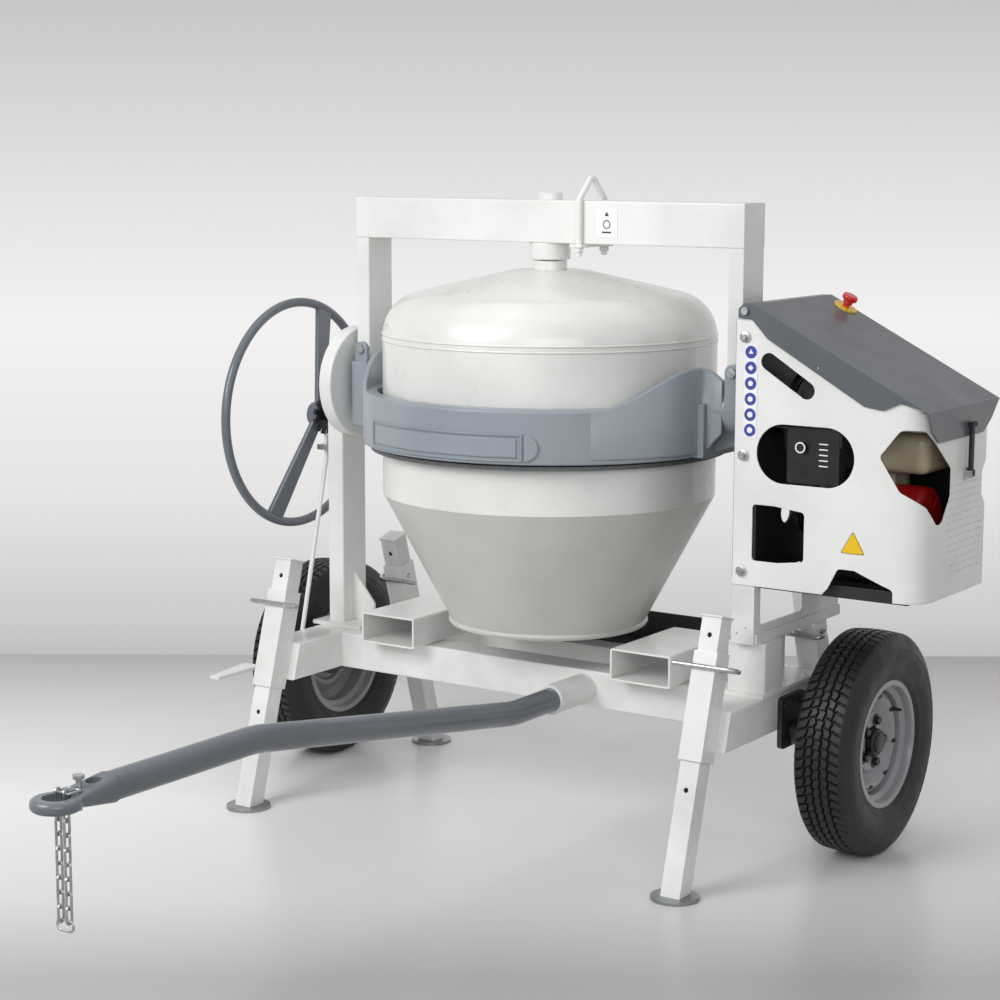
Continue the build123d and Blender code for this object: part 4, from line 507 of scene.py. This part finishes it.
def rim_outline(half):
    """Barrel with a rolled flange at each side: (distance from the middle plane, radius)."""
    barrel = [(-half - 0.0045, FLANGE_R - 0.004), (-half - 0.0045, FLANGE_R + 0.009)]
    barrel += [(-half - 0.0015, FLANGE_R + 0.0105), (-half - 0.0006, FLANGE_R + 0.006)]
    barrel += [(-half - 0.0006, FLANGE_R), (-half + 0.016, FLANGE_R - 0.002)]
    barrel += [(-half + 0.024, FLANGE_R - 0.014), (half - 0.024, FLANGE_R - 0.014)]
    barrel += [(half - 0.016, FLANGE_R - 0.002), (half + 0.0006, FLANGE_R)]
    barrel += [(half + 0.0006, FLANGE_R + 0.006), (half + 0.0015, FLANGE_R + 0.0105)]
    barrel += [(half + 0.0045, FLANGE_R + 0.009), (half + 0.0045, FLANGE_R - 0.003)]
    barrel += [(half + 0.001, FLANGE_R - 0.005), (half - 0.014, FLANGE_R - 0.0055)]
    barrel += [(half - 0.022, FLANGE_R - 0.018), (-half + 0.022, FLANGE_R - 0.018)]
    barrel += [(-half + 0.014, FLANGE_R - 0.0055)]
    return barrel


DISC_OUTLINE = [
    (0.004, 0.1265), (0.012, 0.1265), (0.022, 0.120), (0.026, 0.110), (0.022, 0.100), (0.012, 0.092),
    (0.006, 0.084), (0.008, 0.076), (0.016, 0.070), (0.016, 0.038), (0.011, 0.038), (0.011, 0.068),
    (0.003, 0.073), (0.000, 0.084), (0.007, 0.095), (0.016, 0.103), (0.019, 0.110), (0.015, 0.116),
]
HUB_OUTLINE = [
    (-0.040, 0.0178), (-0.040, 0.034), (-0.014, 0.034), (-0.014, 0.052), (0.0105, 0.052),
    (0.0105, 0.0335), (0.030, 0.0335), (0.0345, 0.030), (0.0345, 0.0255), (0.0385, 0.0245),
    (0.0400, 0.021), (0.0400, 0.0), (0.0285, 0.0), (0.0285, 0.0178),
]
VALVE_OUTLINE = [
    (0, 0.0), (0.022, 0.0), (0.022, 0.0030), (0.018, 0.0036), (0.006, 0.0036), (0.002, 0.0060),
    (0.0, 0.0060),
]


def build_rim(node, tyre_node, body, side):
    low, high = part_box(tyre_node)
    centre = (low + high) / 2
    half = (high.x - low.x) / 2 - 0.019
    out = Vector((side, 0, 0))
    piece = turned(node + "_barrel", rim_outline(half), centre, out, WHEELRIM, body, 160)
    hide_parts(node)
    turned(node + "_disc", DISC_OUTLINE, centre, out, WHEELRIM, body, 128)
    turned(node + "_hub", HUB_OUTLINE, centre, out, ENGINE, body, 72)
    for index in range(NUT_COUNT):
        spot = on_wheel(centre, side, 0.016, NUT_CIRCLE, 360 / NUT_COUNT * index + 20)
        hex_bolt("%s_nut_%d" % (node, index), spot, out, 0.017, body, ENGINE)
    for index in range(SLOT_COUNT):
        spot = on_wheel(centre, side, 0.0250, SLOT_CIRCLE, 360 / SLOT_COUNT * index + 10)
        plate("%s_slot_%d" % (node, index), rounded_box_outline(0.020, 0.009, 0.0043), spot, out, 0.0012,
              PLASTIC, body)
    valve = centre + Vector((side * 0.024, 0.098, 0.062))
    turned(node + "_valve", VALVE_OUTLINE, valve, out, RUBBER, body, 20)


for side_name, side in (("left", -1), ("right", 1)):
    build_tyre("tyre_" + side_name, "wheel_" + side_name)
    build_rim("rim_" + side_name, "tyre_" + side_name, "wheel_" + side_name, side)


# ---- yoke: blank raised frame on the band -------------------------------------------------------
yoke_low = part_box("yoke")[0]
BAND_R = -(yoke_low.y - AXIS_Y)
SUNK = -0.001
RAISED_LOW = 0.957
RAISED_HIGH = 1.021
RAISED_START = -123.5
RAISED_END = -65.0
RAISED_LINE = 0.004
PLATE_GAP = 0.009
END_ANGLE = RAISED_END + 0.8
END_STEPS = 14
END_HALF = (RAISED_HIGH - RAISED_LOW) / 2
END_REACH = 0.033
END_MIDDLE = (RAISED_LOW + RAISED_HIGH) / 2


def band_strip(name, outline, lift, thick):
    """Closed outline of (angle, z) points bent around the band, raised by thick."""
    verts = []
    for radius in (BAND_R + lift, BAND_R + lift + thick):
        for angle, z in outline:
            a = math.radians(angle)
            verts.append(at(radius * math.cos(a), radius * math.sin(a), z))
    count = len(outline)
    faces = ring_faces(0, count, count)
    for i in range(count // 2 - 1):
        faces.append((i, i + 1, count - 2 - i, count - 1 - i))
        faces.append((count + i, count + count - 1 - i, count + count - 2 - i, count + i + 1))
    return add_piece(name, verts, faces, YOKE, "tilt_frame", angle=40)


def band_bar(name, a0, a1, z0, z1, thick=0.0045):
    """Raised bar on the band between two angles and two heights."""
    steps = max(2, int(abs(a1 - a0) / 1.5))
    low_edge = [(a0 + (a1 - a0) * i / steps, z0) for i in range(steps + 1)]
    high_edge = [(a1 - (a1 - a0) * i / steps, z1) for i in range(steps + 1)]
    return band_strip(name, low_edge + high_edge, SUNK, thick)


band_bar("yoke_frame_top", RAISED_START, RAISED_END, RAISED_HIGH - RAISED_LINE, RAISED_HIGH)
band_bar("yoke_frame_bottom", RAISED_START, RAISED_END, RAISED_LOW, RAISED_LOW + RAISED_LINE)
band_bar("yoke_frame_left", RAISED_START - 0.4, RAISED_START + 0.3, RAISED_LOW, RAISED_HIGH)
band_bar("yoke_frame_right", RAISED_END - 0.4, RAISED_END + 0.3, RAISED_LOW, RAISED_HIGH)
band_bar("yoke_plate", RAISED_START + 1.3, RAISED_END - 1.4, RAISED_LOW + PLATE_GAP, RAISED_HIGH - PLATE_GAP,
         0.0028)
end_points = []
for step in range(END_STEPS + 1):
    a = math.radians(-90 + 180 * step / END_STEPS)
    end_points.append((END_ANGLE + math.degrees(END_REACH * math.cos(a) / BAND_R),
                       END_MIDDLE + END_HALF * math.sin(a)))
closing = [(END_ANGLE, END_MIDDLE + END_HALF * (1 - 2 * step / END_STEPS)) for step in range(END_STEPS + 1)]
band_strip("yoke_frame_end", end_points + closing, SUNK, 0.0050)

# ---- yoke: the casting rises from the band to each boss -----------------------------------------
# (angle, top) along the band, then (x, y, bottom, top) into the boss
FLARE_BOTTOM = 0.960
FLARE = (
    (-56, 1.0730), (-51, 1.0738), (-47, 1.0742), (-43, 1.0755), (-39, 1.0800), (-35, 1.0905), (-31, 1.1050),
    (-27, 1.1200), (-23, 1.1335), (-20, 1.1440), (-16, 1.1545), (-11, 1.1620), (-8, 1.1625),
)
FLARE_END = (
    (0.486, -0.0600, 0.972, 1.1580), (0.500, -0.0585, 0.990, 1.1480), (0.520, -0.0580, 1.010, 1.1340),
)


def yoke_flare(name, side):
    """Curved web on the band's outer face whose top edge swoops up and runs on into the boss."""
    inner = BAND_R - 0.0075
    rings = []
    for index, (angle, top) in enumerate(FLARE):
        a = math.radians(angle)
        outer = BAND_R - 0.0012 + 0.0135 * (index / (len(FLARE) - 1)) ** 1.4
        section = ((inner, FLARE_BOTTOM), (outer, FLARE_BOTTOM), (outer, top - 0.004), (outer - 0.003, top),
                   (inner, top))
        rings.append([at(side * radius * math.cos(a), radius * math.sin(a), z) for radius, z in section])
    for x, y, low, top in FLARE_END:
        section = ((y + 0.012, low), (y, low), (y, top - 0.004), (y + 0.003, top), (y + 0.012, top))
        rings.append([at(side * x, depth, z) for depth, z in section])
    verts = [point for ring in rings for point in ring]
    count = len(rings[0])
    faces = [tuple(range(count))[::-1], tuple(len(verts) - count + i for i in range(count))]
    for index in range(len(rings) - 1):
        faces += ring_faces(index * count, (index + 1) * count, count)
    return add_piece(name, verts, faces, YOKE, "tilt_frame", angle=50)


for side_name, side in (("left", -1), ("right", 1)):
    yoke_flare("yoke_flare_" + side_name, side)

# ---- generic label on the arch ------------------------------------------------------------------
FRONT = Vector((0, -1, 0))
FILM = 0.0004
OFF_FACE = 0.0002
LABEL_BASE = 0.0006
arch_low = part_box("arch")[0]
label_spot = Vector((AXIS_X + 0.194, arch_low.y - OFF_FACE, 1.4935))
plate("arch_label", rounded_box_outline(0.060, 0.068, 0.003), label_spot, FRONT, LABEL_BASE, WHITE,
      "tilt_frame")
lifted = label_spot + FRONT * LABEL_BASE
plate("arch_label_arrow", [(-0.006, 0.018), (0.006, 0.018), (0.0, 0.029)], lifted, FRONT, FILM, LABEL_DARK,
      "tilt_frame")
turned("arch_label_ring", ring_outline(0.0080, 0.0105, FILM), lifted + Vector((0, 0, -0.002)), FRONT,
       LABEL_DARK, "tilt_frame", 40)
plate("arch_label_bar", rounded_box_outline(0.026, 0.004, 0.0015), lifted + Vector((0, 0, -0.021)), FRONT,
      FILM, LABEL_DARK, "tilt_frame")

# ---- generic labels on the housing --------------------------------------------------------------
SIGN_COUNT = 6
SIGN_X = 0.6465
SIGN_TOP = 1.2156
SIGN_BOTTOM = 1.0373
SIGN_R = 0.0146
MARK_R = 0.0072
panel_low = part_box("housing_panel")[0]
panel_front = panel_low.y - OFF_FACE
strip_middle = Vector((AXIS_X + SIGN_X, panel_front, (SIGN_TOP + SIGN_BOTTOM) / 2))
plate("label_strip", rounded_box_outline(0.034, 0.214, 0.004), strip_middle, FRONT, FILM, WHITE, "chassis")
for index in range(SIGN_COUNT):
    height = SIGN_TOP - (SIGN_TOP - SIGN_BOTTOM) * index / (SIGN_COUNT - 1)
    spot = Vector((AXIS_X + SIGN_X, panel_front - FILM, height))
    turned("label_disc_%d" % index, disc_outline(SIGN_R, FILM), spot, FRONT, BLUE, "chassis", 40)
    sides = 3 + index
    mark = [(MARK_R * math.sin(2 * math.pi * k / sides), MARK_R * math.cos(2 * math.pi * k / sides))
            for k in range(sides)]
    plate("label_mark_%d" % index, mark, spot + FRONT * FILM, FRONT, FILM, WHITE, "chassis")
triangle_spot = Vector((AXIS_X + 0.9105, panel_front, 0.794))


def soft_triangle(size, radius):
    """Triangle with round corners, its tips at the size from its middle, less one radius."""
    points = []
    for corner in range(3):
        direction = math.radians(90 + 120 * corner)
        cx = (size - 2 * radius) * math.cos(direction)
        cy = (size - 2 * radius) * math.sin(direction)
        points += [(cx + radius * math.cos(direction + math.radians(a)),
                    cy + radius * math.sin(direction + math.radians(a))) for a in range(-60, 61, 20)]
    return points


plate("side_label_edge", soft_triangle(0.0345, 0.003), triangle_spot, FRONT, FILM, LABEL_DARK, "chassis")
plate("side_label", soft_triangle(0.0325, 0.003), triangle_spot + FRONT * FILM, FRONT, FILM, YELLOW,
      "chassis")

# ---- fixings on the housing ---------------------------------------------------------------------
for index, height in enumerate((1.2495, 0.979, 0.709)):
    spot = Vector((AXIS_X + 0.632, panel_low.y - 0.0045, height))
    hex_bolt("housing_bolt_%d" % index, spot, FRONT, 0.013, "chassis")

# ---- dark sheet behind the engine: painted shade seen through the windows -----------------------
SHADE_SHEET_THICK = 0.002
SHADE_SHEET_LOW = 0.700
SHADE_SHEET_HIGH = 1.060
shade_sheet_corners = [at(x, y, 0) for x, y in ((0.690, 0.172), (1.050, 0.172), (1.066, 0.150), (1.066, 0.060))]
shade_sheet_verts = []
for lift in (0.0, SHADE_SHEET_THICK):
    for corner in shade_sheet_corners:
        shade_sheet_verts += [(corner.x - lift, corner.y - lift, z) for z in (SHADE_SHEET_LOW, SHADE_SHEET_HIGH)]
sheet = 2 * len(shade_sheet_corners)
shade_sheet_faces = []
for base in (0, sheet):
    shade_sheet_faces += [(i, i + 2, i + 3, i + 1) for i in range(base, base + sheet - 2, 2)]
for a, b in ((0, 1), (1, 3), (3, 5), (5, 7), (7, 6), (6, 4), (4, 2), (2, 0)):
    shade_sheet_faces.append((a, b, b + sheet, a + sheet))
# painted shade: a black sheet where the windows show only the shade inside the housing
add_piece("painted_shade_sheet", shade_sheet_verts, shade_sheet_faces, ENGINE, "chassis")

# ---- switch box face ----------------------------------------------------------------------------
MARK_COUNT = 5
MARK_PITCH = 0.0125
control_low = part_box("control_box")[0]
knob = Vector((AXIS_X + 0.773, control_low.y - OFF_FACE, 1.006))
turned("knob_ring", ring_outline(0.0095, 0.0128, 0.0012), knob, FRONT, WHITE, "chassis", 40)
for index in range(MARK_COUNT):
    spot = at(0.826, -0.1402, 1.016 - MARK_PITCH * index)
    plate("switch_mark_%d" % index, rounded_box_outline(0.022, 0.0030, 0.001), spot, FRONT, FILM, WHITE,
          "chassis")

# ---- stage: floor, wall and lights --------------------------------------------------------------
WALL_DISTANCE = 7.36
WALL_HEIGHT = 6.0
STAGE_HALF = 9.0
FLOOR_BEHIND = 8.0
FLOOR_BEFORE = 14.0
GRADIENT_HEIGHT = 2.2
GRADIENT_DEPTH = 3.16
# (place, grey) of painted light: up the wall as display values, and along the floor, towards the wall, as
# linear ones
WALL_LIGHT_STOPS = ((0.0, 0.755), (0.05, 0.80), (0.24, 0.90), (0.50, 0.955), (0.72, 0.885), (1.0, 0.77))
FLOOR_LIGHT_STOPS = ((0.06, 0.40), (0.216, 0.66), (0.466, 0.86), (0.728, 0.74), (0.888, 0.60), (0.97, 0.535))
forward = turn @ Vector((0, 0, -1))
level = Vector((forward.x, forward.y, 0)).normalized()
across = Vector((level.y, -level.x, 0))
wall_middle = Vector((camera.location.x, camera.location.y, 0)) + level * WALL_DISTANCE


def stage_sheet(name, corners, material):
    mesh = bpy.data.meshes.new(name)
    mesh.from_pydata([tuple(c) for c in corners], [], [(0, 1, 2, 3)])
    mesh.materials.append(material)
    sheet = bpy.data.objects.new(name, mesh)
    scene.collection.objects.link(sheet)


def gradient(tree, links, value, stops):
    """Colour along the stops, each a place from 0 to 1 and a colour."""
    shades = tree.new("ShaderNodeValToRGB")
    links.new(value, shades.inputs["Fac"])
    while len(shades.color_ramp.elements) < len(stops):
        shades.color_ramp.elements.new(0.5)
    for element, (where, colour) in zip(shades.color_ramp.elements, stops):
        element.position = where
        element.color = colour
    return shades.outputs["Color"]


def wall_material():
    """Glowing wall with one side, so that it hides nothing from behind; its brightness up the wall is painted
    light.
    """
    material, tree, links = new_material("wall")
    tree.remove(tree["Principled BSDF"])
    height = ramp(tree, links, height_of(tree, links, object_place(tree)), 0.0, GRADIENT_HEIGHT, 0.0, 1.0)
    # painted light: the wall glows brightest in a band partway up and dimmer at its foot and top
    stops = [(where, linear((grey, grey * 0.992, grey * 0.992))) for where, grey in WALL_LIGHT_STOPS]
    glow = tree.new("ShaderNodeEmission")
    links.new(gradient(tree, links, height, stops), glow.inputs["Color"])
    mixer = tree.new("ShaderNodeMixShader")
    links.new(tree.new("ShaderNodeNewGeometry").outputs["Backfacing"], mixer.inputs["Fac"])
    links.new(glow.outputs["Emission"], mixer.inputs[1])
    links.new(tree.new("ShaderNodeBsdfTransparent").outputs["BSDF"], mixer.inputs[2])
    links.new(mixer.outputs["Shader"], tree["Material Output"].inputs["Surface"])
    return material


def floor_material():
    """Pale floor with painted light: brightest about the object and darker towards the wall."""
    material, tree, links = new_material("floor")
    shader = tree["Principled BSDF"]
    place = object_place(tree)
    cloud = patches(tree, links, place, 0.8, 0.3, 0.7, 0.0, 1.0)
    along = tree.new("ShaderNodeVectorMath")
    along.operation = "DOT_PRODUCT"
    links.new(place, along.inputs[0])
    along.inputs[1].default_value = level
    wall_at = wall_middle.dot(level)
    # painted light: the floor colour is brightest about the object and darker towards the camera and the wall
    depth = ramp(tree, links, along.outputs["Value"], wall_at - GRADIENT_DEPTH, wall_at, 0.0, 1.0)
    stops = [(where, (grey, grey * 0.985, grey * 0.985, 1.0)) for where, grey in FLOOR_LIGHT_STOPS]
    pale = tree.new("ShaderNodeMix")
    pale.data_type = "RGBA"
    pale.blend_type = "MULTIPLY"
    pale.inputs["Factor"].default_value = 1.0
    links.new(gradient(tree, links, depth, stops), pale.inputs[6])
    links.new(mix_colour(tree, links, cloud, [1.0, 1.0, 1.0, 1.0], [0.97, 0.97, 0.97, 1.0]), pale.inputs[7])
    links.new(pale.outputs[2], shader.inputs["Base Color"])
    shader.inputs["Roughness"].default_value = 0.30
    shader.inputs["Specular IOR Level"].default_value = 0.35
    return material


left_foot = wall_middle - across * STAGE_HALF
right_foot = wall_middle + across * STAGE_HALF
upward = Vector((0, 0, WALL_HEIGHT))
stage_sheet("floor", [left_foot + level * FLOOR_BEHIND, right_foot + level * FLOOR_BEHIND,
                      right_foot - level * FLOOR_BEFORE, left_foot - level * FLOOR_BEFORE], floor_material())
stage_sheet("wall", [left_foot, right_foot, right_foot + upward, left_foot + upward], wall_material())


def area_light(name, before, sideways, height, size, power):
    """Soft lamp aimed at the object's middle, placed from there."""
    target = at(0.1, 0.0, 0.85)
    place = target - level * before + across * sideways + Vector((0, 0, height))
    data = bpy.data.lights.new(name, "AREA")
    data.shape = "RECTANGLE"
    data.size, data.size_y = size
    data.energy = power
    lamp = bpy.data.objects.new(name, data)
    lamp.location = place
    lamp.rotation_euler = (target - place).to_track_quat("-Z", "Y").to_euler()
    scene.collection.objects.link(lamp)


area_light("key", 2.4, -3.1, 2.2, (2.2, 2.0), 112)
area_light("fill", 2.6, 3.2, 1.6, (2.4, 2.4), 10)
area_light("top", 0.0, 0.0, 3.0, (3.6, 3.0), 22)
area_light("front", 4.6, 0.0, 1.2, (3.0, 1.6), 50)
world = bpy.data.worlds.new("studio")
world.use_nodes = True
world.node_tree.nodes["Background"].inputs["Color"].default_value = linear((0.93, 0.93, 0.935))
world.node_tree.nodes["Background"].inputs["Strength"].default_value = 0.48
scene.world = world
scene.view_settings.view_transform = "Standard"
